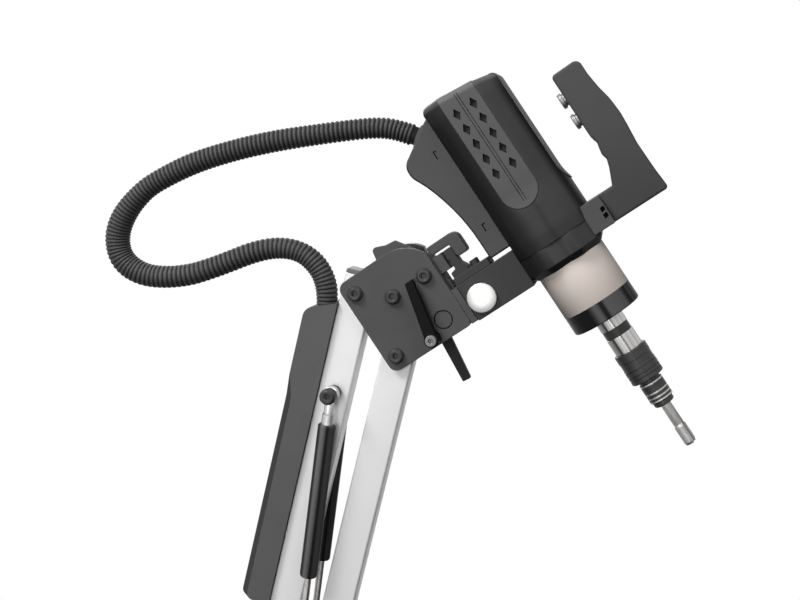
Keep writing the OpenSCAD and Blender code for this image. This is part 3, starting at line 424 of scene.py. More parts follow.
def inset(ring, d):
    """The ring moved inward by d along the mitre of the two sides at each point."""
    e = np.roll(ring, -1, 0) - ring
    e = e / np.maximum(np.linalg.norm(e, axis=1, keepdims=True), 1e-9)
    n = np.stack([-e[:, 1], e[:, 0]], 1)
    before = np.roll(n, 1, 0)
    return ring + (n + before) / np.maximum(1 + np.sum(n * before, 1, keepdims=True), 0.35) * d


def layered(layers):
    """Solid through rings of (x, z) points, each at its own distance y."""
    return skin([np.column_stack([ring[:, 0], y + 0 * ring[:, 0], ring[:, 1]]) for ring, y in layers])


def slab(ring, y0, y1, edge=0.8, steps=4):
    """Plate with rounded edges: at turn f the ring is inset by e(1-sin f), at e(1-cos f) from its face."""
    f = np.radians(np.linspace(0, 90, steps + 1))
    low = [(inset(ring, edge * 1.15 + 0.25), y0)]
    low += [(inset(ring, edge * (1 - math.sin(a))), y0 + edge * (1 - math.cos(a))) for a in f]
    return layered(low + [(r, y1 - (y - y0)) for r, y in low[::-1]])


def turned(axis, profile, sides=40, centre=(0, 0), hexagon_from=None, closed=False, caps=True):
    """Part turned about axis 0, 1 or 2 through `centre`, from (radius, height) pairs: c + r cos a, r sin a.

    From pair hexagon_from on, the radius follows r cos 30 / cos(a mod 60 - 30).
    """
    r, height = np.array(profile, float).T[:, :, None]
    a = all_round(sides)
    if hexagon_from is not None:
        flat = math.cos(math.pi / 6) / np.cos(a % (math.pi / 3) - math.pi / 6)
        r = r * np.where(np.arange(len(r))[:, None] < hexagon_from, 1, flat)
    parts = [centre[0] + r * np.cos(a), centre[1] + r * np.sin(a)]
    parts.insert(axis, height + 0 * a)
    return skin(np.stack(parts, -1), closed, caps)


def raised(height, *pairs):
    """The (radius, height) pairs, their heights counted from another one."""
    return [(r, height + h) for r, h in pairs]


def rod(y0, y1, r, sides=40, chamfer=0.0):
    """Round bar along y, with a chamfer at both ends."""
    return turned(1, [(r - chamfer, y0), (r, y0 + chamfer), (r, y1 - chamfer), (r - chamfer, y1)], sides)


def cut(o, shapes, material, at=None):
    """Takes the shapes out of piece o, whose cut walls get the material."""
    tool = piece("cutter", shapes, material, None, at)
    b = o.modifiers.new("cut", "BOOLEAN")
    b.object, b.operation, b.solver, b.material_mode = tool, "DIFFERENCE", "EXACT", "TRANSFER"
    bpy.context.view_layer.update()
    made = bpy.data.meshes.new_from_object(o.evaluated_get(bpy.context.evaluated_depsgraph_get()))
    o.modifiers.clear()
    o.data = made
    smooth(made, 38)
    bpy.data.objects.remove(tool)


def show(material, *names):
    """Gives carried-over CAD nodes their finish."""
    for n in names:
        frame["nodes"][n].data.materials.clear()
        frame["nodes"][n].data.materials.append(material)


COAT = dict(level=0.08, grain=0.05, grain_size=1.1, mottle=0.06, soften=0.8)
POWDER = surface("powder_coat", 76, 0.6, **COAT)
PLATE_IN, PLATE_OUT = -span("head_plate_near", 1)[::-1]
LEFT, RIGHT = span("head_plate_near", 0)
LOW, HIGH = span("head_plate_near", 2)
BACK_R, TOE_R, BIG_ARC, ARC_BACK, PEEP_R = 11.0, 6.0, 50.0, 44.0, 11.7
HORN_LEFT, HORN_RIGHT, HORN_TOP, HORN_ROOT = 34, 67, 28.5, -17
sole = [arc((LEFT + BACK_R, LOW + BACK_R), BACK_R, 180, 270, 8),
        arc((RIGHT - TOE_R, LOW + TOE_R), TOE_R, 270, 360, 6)]
back = arc((LEFT + BACK_R, HIGH - BACK_R), BACK_R, 90, 180, 8)
crown = arc((RIGHT - ARC_BACK, HIGH - BIG_ARC), BIG_ARC, math.degrees(math.acos(ARC_BACK / BIG_ARC)), 90, 20)
horn = [[[RIGHT, HORN_ROOT], [HORN_RIGHT, HORN_TOP], [HORN_RIGHT - 13, HORN_TOP + 1.5]],
        arc((HORN_LEFT + 7, HORN_TOP + 1.5), 5, 70, 170, 6), [[HORN_LEFT, HIGH]]]
peep = head_at(73, pivot("head_roll")[1] - HEAD[1])
near, far = (wound(np.vstack([*sole, *edge, back])) for edge in ([crown], horn))
near = piece("plate_near", slab(near, -PLATE_OUT, -PLATE_IN), POWDER, "head", head_at(), "head_plate_near")
cut(near, rod(-PLATE_OUT - 2, -PLATE_IN + 2, PEEP_R, 48), POWDER, peep)
piece("plate_far", slab(far, PLATE_IN, PLATE_OUT), POWDER, "head", head_at(), "head_plate_far")
show(POWDER, "head_block")
piece("sight_boss", rod(-PLATE_OUT + 1.2, -PLATE_IN, PEEP_R - 1.2, 48, 0.5), POWDER, "head", peep)


# ------------------------ bolts of the plates
# Black button-head cap screws with a hexagon socket, through both plates of every joint. A head is
# a disc with a chamfered rim, a raised land round the socket and the dark six-sided hole.
BLACKED = dict(rough=0.42, metal=0.25, level=0.2, grain=0.02, mottle=0.12, soften=0.4)
OXIDE = surface("black_oxide", 52, **BLACKED)
MIRROR = np.diag([1.0, -1.0, 1.0, 1.0])
BOLT_R, BOLT_H, SHANK_R, SOCKET_R = 9.5, 6.0, 5.0, 3.4


def bolt_head(r, h, face):
    """Screw head on a face at y = face, standing towards -y."""
    profile = [(r, 0), (r, 0.5 * h), (r - 0.5, 0.5 * h + 0.6), (r - 2.2, h - 0.5), (r - 2.8, h),
               (SOCKET_R + 1.6, h), (SOCKET_R + 1.2, h - 0.5), (SOCKET_R + 0.3, h - 0.6), (SOCKET_R, h - 1),
               (SOCKET_R, 0.25 * h), (0, 0.25 * h)]
    return turned(1, [(q, face - y) for q, y in profile], 36, hexagon_from=8, caps=False)


def bolted(name, spots, body, stands_for, at=None):
    """Screws through both plates at (x, z) spots, heads on both faces."""
    head = bolt_head(BOLT_R, BOLT_H, -PLATE_OUT)
    screw = [head, moved(head, MIRROR), rod(-PLATE_OUT + 0.5, PLATE_OUT - 0.5, SHANK_R, 20)]
    piece(name, [moved(part, place(spot)) for spot in spots for part in screw], OXIDE, body, at, stands_for,
          sharp=30)


LINK_DROP = (pivot("upper_lift") - pivot("upper_link_lift"))[1]
bolted("plate_bolts", [(0, 0), (0, -LINK_DROP), (37, -28), (83, -28)], "head", "head_bolts", head_at())


# ------------------------ clamp levers
# Two black moulded levers, each on its own socket screw: the near one points up over the plate, the
# far one hangs down behind it. Each is a flat bar with a slanted end on a round hub.
BLACK = surface("black_plastic", 8, 0.45, level=0.05, grain=0.03, mottle=0.15, soften=0.5)
# A greyer black than the near lever's, for the far lever.
GREYER_BLACK = surface("greyer_black", 36, 0.5, level=0.1, grain=0.04, mottle=0.1)
SCREW = surface("screw_head", 112, 0.5, metal=0.3, level=0.2, mottle=0.15)
LEVER_SPOT, HUB_LEN, LEVER_PLANE, LEVER_T = (50.5, -96.5), 16.0, 7.0, 8.0
ROOT_HALF, TIP_HALF, STEM_R = 7.5, 6.0, 5.5


def clamp_lever(name, length, tilt, material, slant, turn_over):
    """Bar from the hub to its slanted tip, its hub, and its socket screw."""
    plane, face = -PLATE_OUT - LEVER_PLANE, -PLATE_OUT - HUB_LEN
    outline = corners([(-ROOT_HALF, -1, 4), (ROOT_HALF, -1, 4), (TIP_HALF, length - 1, 1.6),
                       (-TIP_HALF + 1, length - 1 - slant, 1.6)])
    hub = turned(1, [(9.2, -PLATE_OUT - 0.3), *raised(face, (9.2, 1), (8.4, 0), (0, 0))], 36, caps=False)
    head = turned(1, raised(face, (6.8, 0.5), (6.8, -4.6), (6.2, -5.2), (3.4, -5.2), (3, -4.6), (3, -1.5),
                            (0, -1.5)), 36, hexagon_from=4, caps=False)
    bar = [slab(outline, plane - LEVER_T, plane, 1.0), hub, rod(-PLATE_OUT, -0.5, STEM_R, 20)]
    if turn_over:
        head, *bar = (moved(part, MIRROR) for part in (head, *bar))
    body, at = name + "_lever", head_at(*LEVER_SPOT, angle=tilt)
    piece("lever_screw_" + name, head, SCREW, body, at, sharp=30)
    piece("lever_" + name, bar, material, body, at, name + "_clamp_lever")


clamp_lever("near", 77, -12, BLACK, 2.5, False)
clamp_lever("far", 70, 174, GREYER_BLACK, 0, True)


# ------------------------ round knob
# Round moulded knob on the far side, with six finger grooves in its rim and softened edges, on a
# narrow hub and stem.
KNOB = surface("knob_plastic", 44, 0.45, level=0.2, grain=0.04, mottle=0.08)
STAR, STAR_R, STAR_BACK, STAR_T, FINGER_R = (58.5, -14.5), 35.5, PLATE_OUT + 8.3, 16.0, 6.0


def grooved_rim(r, out, groove, count, turn):
    """Ring of radius r, or out cos d - sqrt(g^2 - out^2 sin^2 d) in a groove at angle d from its middle."""
    a = all_round(240)
    step = 2 * math.pi / count
    d = (a - math.radians(turn) + step / 2) % step - step / 2
    bite = groove ** 2 - (out * np.sin(d)) ** 2
    edge = np.where(bite > 0, out * np.cos(d) - np.sqrt(np.maximum(bite, 0)), r)
    return np.minimum(edge, r)[:, None] * np.stack([np.cos(a), np.sin(a)], 1)


star = [slab(grooved_rim(STAR_R, STAR_R + 3, FINGER_R, 6, 80), STAR_BACK, STAR_BACK + STAR_T, 1.4),
        rod(PLATE_OUT + 0.3, STAR_BACK + 1, STAR_R / 3, 36), rod(4, PLATE_OUT + 2, 4.8, 20)]
piece("knob_star", star, KNOB, "star_knob", head_at(*STAR), "star_knob")


# ------------------------ roll clamp and index plunger
# The block that carries the motor unit turns on the roll shaft. A bright turned brake plug stands
# in its near face, and a spring plunger with a folded handle locks it against the head.
def rect(x0, z0, x1, z1, r=0.0):
    """Ring of a rectangle, its corners rounded by r."""
    return corners([(x0, z0, r), (x1, z0, r), (x1, z1, r), (x0, z1, r)])


PIN = surface("polished_pin", (176, 176, 175), 0.5, metal=1.0, mottle=0.02, brushed=1)
# The plates' powder coat in a darker tone: painted shade on the roll block and the index guide, between the
# parts.
SHADED_POWDER = surface("shaded_powder", 58, 0.6, **COAT)
# Near-black walls of cuts: dark joints at the parting lines, painted shade in the recesses: the plug's gap,
# the clip windows and the sunk marks.
JOINT_AND_HOLLOW_SHADE = surface("joint_and_hollow_shade", 14, 0.9, level=0.05, mottle=0.1)
BLOCK_X0, BLOCK_X1 = span("clamp_block", 0)
BLOCK_Z0, BLOCK_Z1 = span("clamp_block", 2)
BLOCK_Y = span("clamp_block", 1)[1]
PLUG, PLUG_R, PLUG_FACE = (126.5, -87.0), 18.0, -BLOCK_Y - 5.0
block = piece("roll_block", slab(rect(BLOCK_X0, BLOCK_Z0, BLOCK_X1, BLOCK_Z1, 1.7), -BLOCK_Y, BLOCK_Y, 1.0),
              SHADED_POWDER, "head_unit", head_at(), "clamp_block")
cut(block, rod(-BLOCK_Y - 2, -BLOCK_Y + 8, PLUG_R + 0.6, 56), JOINT_AND_HOLLOW_SHADE, head_at(*PLUG))
plug = [(PLUG_R, -8), *raised(PLUG_FACE, (PLUG_R, 1.6), (PLUG_R - 0.5, 0.7), (PLUG_R - 1.6, 0),
                              (PLUG_R / 2, -0.05), (0, -0.05))]
piece("plug_bright", turned(1, plug, 72, caps=False), PIN, "head_unit", head_at(*PLUG), "brake_plug")
show(POWDER, "roll_shaft")

INDEX_X0, INDEX_X1, INDEX_TOP, INDEX_Y = 108.0, 156.5, -50.5, BLOCK_Y - 4
GUIDE0, GUIDE1, NUT_X, BOSS_Z, BOSS_HALF = 116.5, 126.0, 138.7, -27.0, 11.0
web = corners([(INDEX_X0 + 1, INDEX_TOP - 1), (INDEX_X0 + 1, INDEX_TOP + 7, 1.5),
               (GUIDE0, INDEX_TOP + 9, 1.5), (GUIDE0, BOSS_Z + BOSS_HALF, 1.2),
               (GUIDE1, BOSS_Z + BOSS_HALF, 1.2), (GUIDE1, BOSS_Z - BOSS_HALF, 3),
               (GUIDE1 + 5, INDEX_TOP + 4, 2), (GUIDE1 + 5, INDEX_TOP - 1)])
index = [slab(rect(INDEX_X0, BLOCK_Z1, INDEX_X1, INDEX_TOP, 1.4), -INDEX_Y, INDEX_Y),
         slab(web, -BOSS_HALF, BOSS_HALF, 0.6),
         turned(2, raised(INDEX_TOP, (6, -1), (6, 6.4), (5.2, 7.2)), 6, (NUT_X, 0))]
piece("index_guide", index, SHADED_POWDER, "head_unit", head_at(), "index_plate")
hook = corners([(100.3, -1.8, 1.5), (100.3, -13.3, 1.5), (126.0, -13.3, 2.5), (126.3, -31.3, 4),
                (142.0, -31.3, 4), (142.0, -1.8, 10)])
plunger = [slab(hook, -10, 10, 1.5),
           turned(0, [(4, 112.8), (4, 114.5), (5, 114.5), (5, 126.3)], 24, (0, BOSS_Z))]
piece("plunger_hook", plunger, POWDER, "plunger", head_at(), "plunger_handle")


# ------------------------ motor housing
# Two moulded halves round the motor. The lower part is round; above, flats are cut into it, and
# each flat ends in an arch where it runs out of the round. A lid with soft edges slopes to the grip.
# Shell and panels are light base tones that their "shade" darkens: painted shade and reflection on the sides,
# painted highlight on the lid's edge.
SHELL = surface("shell_plastic", 100, 0.42, level=0.05, grain=0.02, grain_size=0.7, mottle=0.06, soften=0.6,
                shaded=True)
PANEL = surface("panel_plastic", 112, 0.6, level=0.08, grain=0.04, grain_size=0.8, mottle=0.05, shaded=True)
# Dark walls and floors of the vents: painted shade inside the holes.
VENT_SHADE = surface("vent_shade_plastic", 38, 0.6, level=0.05, mottle=0.1)
AXIS_X = pivot("spindle_turn")[0] - HEAD[0]
SEAM_Z, HOUSE_TOP = span("housing_left", 2)
BASE_Z = span("housing_base", 2)[0]
# Distances of the flats from the axis: at the front and back, to the grip, to the arm, between these.
FRONT, SIDE, INNER, DIAGONAL = 48.6, 49.6, 48.8, 50.6
ROUND_R, ARCH_Z, SLOPE, HALF, LID_R, CRISP = 53.6, -5.0, 11.0, 48.0, 9.0, 42.0
turns = all_round(192)


def section(planes, crisp, round_r):
    """Radius in every direction a at one or more levels, cut by flats at distance d in direction k.

    r = (sum over flats of (cos+(a - k) / d)^p + 1 / R^p)^(-1/p), where p is `crisp`.
    """
    total = 1 / np.reshape(round_r, (-1, 1)) ** crisp
    for angle, distance in planes:
        c = np.maximum(np.cos(turns - math.radians(angle)), 1e-3)
        total = total + (c / np.reshape(distance, (-1, 1))) ** crisp
    return total ** (-1 / crisp)


def lid_z(x):
    """Height of the sloping lid over x from the axis."""
    return HOUSE_TOP - SLOPE * (x + HALF) / (2 * HALF)


def ring_at(r, z):
    """Ring round the housing's axis; r and z hold for all directions, or one value for each."""
    return np.column_stack([AXIS_X + r * np.cos(turns), r * np.sin(turns), z + 0 * turns])


levels = np.r_[np.linspace(SEAM_Z + 0.4, -62, 5), np.linspace(-58, ARCH_Z, 36), np.linspace(0, 60, 7)]
drop = np.maximum(0, ARCH_Z - levels)
ease = np.clip((levels + 50) / 45, 0, 1)
ease = ease * ease * (3 - 2 * ease)
planes = [(turn, np.minimum(np.hypot(flat, drop), ROUND_R + 1))
          for turn, flat in ((270, FRONT), (90, FRONT), (0, SIDE))] + [(180, INNER)]
planes += [(a, ROUND_R + 0.6 - (ROUND_R + 0.6 - DIAGONAL) * ease) for a in (45, 135, 225, 315)]
radius = section(planes, CRISP, ROUND_R - 2.6 * np.clip((-62 - levels) / 15, 0, 1))
top = radius[-1]
rim = lid_z(top * np.cos(turns)) - LID_R
rings = [ring_at(0.94 * radius[0], levels[0])] + [ring_at(r, z) for r, z in zip(radius, levels)]
rings += [ring_at(top, levels[-1] + share * (rim - levels[-1])) for share in (0.35, 0.7)]
rings += [ring_at(top - LID_R * (1 - math.cos(f)), rim + LID_R * math.sin(f))
          for f in np.radians(np.linspace(0, 90, 9))]
rings += [ring_at(r, lid_z(r * np.cos(turns))) for r in np.outer((0.9, 0.5, 0.1), top - LID_R)]
shell = piece("housing_shell", skin(rings), SHELL, "head_unit", head_at(), ("housing_left", "housing_right"),
              sharp=24)

PANEL_HALF, PANEL_STEPS = 22.6, 60


def flat_panel(turn, distance):
    """Skin over a flat in direction `turn`, 0.3 mm proud of it and rounded in at its rim.

    From the arch z = Z - sqrt(w^2 - u^2) it runs up over the lid's edge, hypot(d, Z - z) out below Z.
    """
    out_x, out_y = direction(turn)
    f = np.radians(np.linspace(8, 84, 9))
    rings = []
    for across in PANEL_HALF * np.sin(np.linspace(-math.pi / 2, math.pi / 2, 61)):
        high = lid_z(distance * out_x - across * out_y) - LID_R
        low = ARCH_Z - math.sqrt(max(0, PANEL_HALF ** 2 - across ** 2))
        z = np.r_[low + (high - low) * np.linspace(0, 1, PANEL_STEPS) ** 1.4, high + LID_R * np.sin(f)]
        flat = np.hypot(distance, np.maximum(0, ARCH_Z - z))
        flat -= np.r_[np.zeros(PANEL_STEPS), LID_R * (1 - np.cos(f))]
        edge = np.minimum(np.clip((PANEL_HALF - abs(across)) / 0.5, 0, 1), np.clip((z - low) / 0.6, 0, 1))
        out = np.r_[flat - 0.6 + 0.9 * edge ** 0.5, flat[::-1] - 1.5]
        rings.append(np.column_stack([AXIS_X + out * out_x - across * out_y, out * out_y + across * out_x,
                                      np.r_[z, z[::-1]]]))
    return skin(rings)


panels = [piece("panel_" + name, flat_panel(turn, distance), PANEL, "head_unit", head_at(),
                sharp=50)
          for name, turn, distance in (("front", 270, FRONT), ("back", 90, FRONT), ("side", 0, SIDE))]

# The front and back flats carry two rows of diamond vents, and a double parting line between them.
VENT_X, VENT_TOP, VENT_PITCH, VENT_H, VENT_W, LINE_HALF = 11.3, 103.5, 20.1, 7.6, 4.6, 0.35


def two_sides(a, b):
    """The (lowest, highest) y of what lies a to b from the middle, on the near and on the far side."""
    return (-b, -a), (a, b)


def prism(ring, y0, y1):
    """Solid over a ring of (x, z) points between two distances."""
    return layered([(ring, y0), (ring, y1)])


def prisms(rings, a, b):
    """Solids over the rings on both sides, a to b from the middle."""
    return [prism(ring, *ys) for ys in two_sides(a, b) for ring in rings]


def louvre(x, z, side):
    """Diamond hole whose floor slopes from 5 mm deep at its top to 1 mm at its foot."""
    ring = wound([(x, z - VENT_H), (x + VENT_W, z), (x, z + VENT_H), (x - VENT_W, z)])
    return prism(ring, side * (FRONT - 3 - 2 * (ring[:, 1] - z) / VENT_H), side * (FRONT + 6))


vents = [louvre(x, z, side) for side in (-1, 1) for x in (AXIS_X - VENT_X, AXIS_X + VENT_X)
         for z in VENT_TOP - VENT_PITCH * np.arange(5)]
seams = prisms([rect(x - LINE_HALF, -20, x + LINE_HALF, HOUSE_TOP - 2) for x in (AXIS_X - 1.7, AXIS_X + 1.5)],
               FRONT - 0.7, FRONT + 6)
lid_line = rect(AXIS_X - LINE_HALF, lid_z(0) - 0.7, AXIS_X + LINE_HALF, lid_z(0) + 4)
seams.append(prism(lid_line, -FRONT + 2, FRONT - 2))
for o in [shell] + panels[:2]:
    cut(o, seams, JOINT_AND_HOLLOW_SHADE, head_at())
    cut(o, vents, VENT_SHADE, head_at())

# Painted shade and reflection of the housing by direction round its axis, in degrees from +x, and painted
# shade of its lid by x from the axis, lighter towards +x.
AROUND = {0: .5, 17: .6, 90: .4, 180: .6, 205: .9, 215: .95, 222: .92, 229: .75, 235: .68, 241: .62, 247: .45,
          253: .2, 259: 0, 271: .1, 277: .35, 283: 0, 319: 0, 325: .4, 331: .85, 337: .88, 343: .6, 355: .5,
          360: .5}
LID_DARK = {-45: .6, -10: .45, 20: .35, 45: .25}


def look_up(value, table):
    """Table {value: share} read between its entries."""
    return np.interp(value, list(table), list(table.values()))


def by_direction(x, y, table):
    """Share from a table by the direction of (x, y) from the spindle's axis."""
    return look_up(np.degrees(np.arctan2(y, x - AXIS_X)) % 360, table)


def facets(x, y):
    """Painted shade and reflection on the housing's sides."""
    return 0.7 + 0.35 * by_direction(x, y, AROUND)


def over_rim(x, z):
    """Height above the line where the lid's round edge begins."""
    return z - lid_z(x - AXIS_X) + LID_R


def shell_shade(x, y, z):
    """The sides' painted shade, giving way across the top of the fillet to the lid's paler painted shade."""
    lid = np.clip((over_rim(x, z) + 1) / 4, 0, 1)
    return facets(x, y) * (1 - lid) + look_up(x - AXIS_X, LID_DARK) * lid


def panel_shade(x, y, z):
    """Painted shade, a little darker towards the arch, and a painted highlight from the lid's edge up."""
    return 0.5 + 0.1 * np.clip((25 - z) / 45, 0, 1) - 0.22 * np.clip(over_rim(x, z) / 3, 0, 1)


for o in panels:
    shade(o, panel_shade)
shade(shell, shell_shade)
show(surface("motor_alloy", 150, 0.4, metal=1.0, mottle=0.05, brushed=2), "servo_motor")

# The base is a separate eight-sided foot under the seam, with a chamfer that runs in to the gearbox.
# Its sides carry the housing's painted shade, and below FOOT_EDGE, over the chamfer, it is darkened fully as
# painted shade.
FOOT_EDGE = BASE_Z + 7.6
foot_r = section([(a, 49.0) for a in range(0, 360, 90)] + [(a, 50.2) for a in range(45, 360, 90)], 60.0,
                 ROUND_R)[0]
foot = [(-1.6, SEAM_Z + 1), (-1.6, SEAM_Z - 0.5), (-0.5, SEAM_Z - 0.5), (0, SEAM_Z - 1.0), (0, BASE_Z + 8),
        (-0.3, BASE_Z + 7.2), (-6.6, BASE_Z + 0.4), (-7.4, BASE_Z), (-20, BASE_Z)]
base = piece("housing_foot", skin([ring_at(foot_r + d, z) for d, z in foot]), SHELL, "head_unit", head_at(),
             "housing_base", sharp=20)
shade(base, lambda x, y, z: np.maximum(facets(x, y), z < FOOT_EDGE))


# ------------------------ cable box and its gland
# Moulded box along the back of the housing, swept like a fin, with two small clip windows in each
# side. The conduit comes out of a ring on its slanted top.
GRIP = surface("grip_plastic", 75, 0.6, level=0.08, grain=0.05, grain_size=0.8, mottle=0.06, shaded=True)
BOX_Y, CLIPS = span("cable_box", 1)[1], ((174.6, 81.8), (175.6, -19.8))
GLAND_IN, GLAND_R = 12.6, 15.5


def gland(name, end, angle, depth, material, body, stands_for):
    """Ring with rounded rims round one end of the hose's route."""
    ring = turned(0, [(GLAND_IN, -depth), (GLAND_R - 0.8, -depth), (GLAND_R, 0.8 - depth), (GLAND_R, -1.2),
                      (GLAND_R - 1.2, 0), (GLAND_IN, 0)], closed=True)
    piece(name, ring, material, body, head_at(*(ROUTE[end, :2] / MM - HEAD), angle=angle), stands_for)


fin = corners([(190, -54.7), (160, -54.7, 3.5), (160, -18, 300), (157.5, 6, 300), (152.5, 30, 300),
               (143.5, 58, 120), (134.3, 76, 22), (135.5, 92, 18), (158, 105.5, 200), (177, 118, 120),
               (190, 124.5)], 6.0)
box = piece("cable_fin", slab(fin, -BOX_Y, BOX_Y, 2.2, 5), GRIP, "head_unit", head_at(), "cable_box")
windows = prisms([rect(x - 2.1, z - 5, x + 2.1, z + 5) for x, z in CLIPS], BOX_Y - 1.6, BOX_Y + 2)
cut(box, windows, JOINT_AND_HOLLOW_SHADE, head_at())
# Painted shade: the box's rounded rim and sides are darkened below the slanted top.
shade(box, lambda x, y, z: (np.abs(y) < BOX_Y - 0.1) & (z < 88 + 0.6 * (x - 135.5)))
tabs = prisms([rect(x - 0.7, z - 4.8, x + 2.0, z + 3.4) for x, z in CLIPS], BOX_Y - 2, BOX_Y - 0.15)
piece("clip_tabs", tabs, GRIP, "head_unit", head_at())
gland("gland_box", 0, 126, 14, GRIP, "head_unit", "motor_gland")


# ------------------------ handle
# Bracket screwed to the housing base, with a moulded grip: a plain back that bulges, finger waves on
# the inner side, soft edges, and two steel push buttons. Each side of the bracket has two sunk marks.
BRACKET_Y, GRIP_Y = span("handle_bracket", 1)[1], span("handle_grip", 1)[1]
BRACKET_X0, BRACKET_X1 = AXIS_X + 41.0, span("handle_bracket", 0)[1]
BRACKET_Z0, BRACKET_Z1 = span("handle_bracket", 2)
GRIP_TOP = span("handle_grip", 2)[1]
bracket = piece("grip_bracket", slab(rect(BRACKET_X0, BRACKET_Z0, BRACKET_X1, BRACKET_Z1, 1.5), -BRACKET_Y,
                                     BRACKET_Y, 0.9),
                GRIP, "head_unit", head_at(), "handle_bracket")
marks = [wound([(x - 2.6, z - 3.3), (x + 2.6, z - 2.3), (x + 2.6, z + 3.3), (x - 2.6, z + 2.3)])
         for x, z in ((299.8, -76.7), (299.2, -84.7))]
cut(bracket, prisms(marks, BRACKET_Y - 3, BRACKET_Y + 2), JOINT_AND_HOLLOW_SHADE, head_at())
root, g, h = BRACKET_X1 - 1, BRACKET_X1 + 28.5, BRACKET_X1 + 69.5
grip_ring = corners([
    (root, BRACKET_Z0), (root, BRACKET_Z1), (g - 10, BRACKET_Z1, 2), (g - 5.5, -51, 20), (g - 1.2, -41, 12),
    (g + 1.5, -32, 5), (g - 0.3, -25, 6), (g + 1.5, -15, 5), (g + 2.5, -11, 5), (g, -2, 30), (g, GRIP_TOP, 5),
    (h - 5, GRIP_TOP, 8), (h - 5, 60, 60), (h - 3, 41, 80), (h + 0.5, 23, 60), (h + 1.6, 3, 60),
    (h + 0.5, -14, 60), (h - 1.5, -36, 80), (h - 1, -70, 80), (h + 0.5, BRACKET_Z0, 4.2)], 6.0)
grip = piece("grip_handle", slab(grip_ring, -GRIP_Y, GRIP_Y, 3.0, 6), GRIP, "head_unit", head_at(),
             "handle_grip")
# Painted shade: the grip grows darker towards its foot.
shade(grip, lambda x, y, z: 0.04 + 0.28 * (GRIP_TOP - z) / 150)

CHROME = surface("button_steel", 118, 0.5, metal=1.0, mottle=0.1)
cap = raised(g - 7, (3, 0.9), (6.4, 0.9), (7.2, 0.2), (8.4, 0), (9.2, 0.3), (9.7, 1.2), (9.7, 4.2), (8, 4.7),
             (8, 20))
for name, z in (("start", 51.5), ("reverse", 23.5)):
    piece("button_" + name, turned(0, cap, centre=(0, z)), CHROME, name + "_button", head_at(),
          name + "_button")


# ------------------------ gearbox and chuck
# Turned parts on one axis: an enamelled gearbox, a black collar, the ground steel spindle with a
# dark band, the sliding chuck collar with its grooves, the ringed collet and the tap.
BEIGE = surface("beige_enamel", (206, 196, 189), 0.75, level=0.08, grain=0.03, grain_size=1.2, mottle=0.03,
                shaded=True)
RING = surface("ring_paint", 80, 0.3, level=0.05, mottle=0.05, mottle_size=60, shaded=True)
DARK_STEEL = surface("dark_steel", 60, **BLACKED, shaded=True)
STEEL = surface("bright_steel", (188, 187, 185), 0.32, metal=1.0, mottle=0.12, streaks=0.35, shaded=True)
TAP_STEEL = surface("tap_steel", (150, 149, 147), 0.45, metal=1.0, mottle=0.12, mottle_size=8, shaded=True)
GEAR_R, CHUCK_R = span("gearbox", 1)[1], span("chuck_collar", 1)[1]
GEAR_Z, COLLAR_Z = span("gearbox", 2)[0], span("gearbox_collar", 2)[0]
CHUCK_Z0, CHUCK_Z1 = span("chuck_collar", 2)
COLLET_Z, TAP_Z = span("tap_collet", 2)[0], span("tap", 2)[0]
BAND_Z0, BAND_Z1, SPIN_R, COLLET_R = -210.8, -200.4, 17.2, 14.5


def on_axis(name, profiles, material, body, stands_for, table=None):
    """Piece turned about the spindle's axis from profiles of (radius, z), with painted shade and reflection
    by direction.
    """
    o = piece(name, [turned(2, p, 144) for p in profiles], material, body, head_at(AXIS_X), stands_for)
    if table:
        shade(o, lambda x, y, z: by_direction(x, y, table))


# Each table is painted shade and reflection by direction round the axis: the gearbox's darker left side,
# stripes on the collar, spindle, chuck and collet.
on_axis("gear_case", [raised(BASE_Z, (20, 0.5), (GEAR_R - 0.3, 0.5), (GEAR_R, -0.5))
                      + raised(GEAR_Z, (GEAR_R, 0.5), (GEAR_R - 0.3, 0), (22, 0))],
        BEIGE, "head_unit", "gearbox",
        {0: 0, 180: .6, 205: .5, 217: .42, 229: .25, 241: .1, 253: 0, 360: 0})
on_axis("gear_ring", [raised(GEAR_Z, (22, 0), (GEAR_R - 0.6, 0), (GEAR_R, -0.5))
                      + raised(COLLAR_Z, (GEAR_R, 1.2), (GEAR_R - 1.2, 0), (30, 0), (29, 1), (18.2, 1))],
        RING, "head_unit", "gearbox_collar",
        {0: .9, 180: .6, 208: .6, 215: .85, 224: .9, 236: 1, 254: 1, 259: .65, 264: 0, 270: .15, 274.5: 1,
         279.5: 1, 283: 0, 313: .1, 322: 1, 327: 1, 331: .4, 334.5: 1, 345: 1, 350: .9, 360: .9})
show(STEEL, "spindle_bearing")
on_axis("spindle_bar", [raised(GEAR_Z, (10, 18), (SPIN_R - 0.2, 18))
                        + raised(BAND_Z1, (SPIN_R - 0.2, 0.3), (SPIN_R - 0.6, 0)),
                        raised(BAND_Z0, (SPIN_R - 0.6, 0), (SPIN_R, -0.4))
                        + raised(CHUCK_Z1, (SPIN_R, -0.5), (12, -4))],
        STEEL, "spindle", "spindle",
        {0: .6, 229: .6, 238: 1, 243: 1, 247: .4, 253: 0, 271: .1, 275: .8, 279: .8, 283: 0, 340: 0, 348: .3,
         354: .6, 360: .6})
on_axis("spindle_band", [[(10, BAND_Z1), (SPIN_R - 0.7, BAND_Z1), (SPIN_R - 0.7, BAND_Z0), (10, BAND_Z0)]],
        OXIDE, "spindle", ())

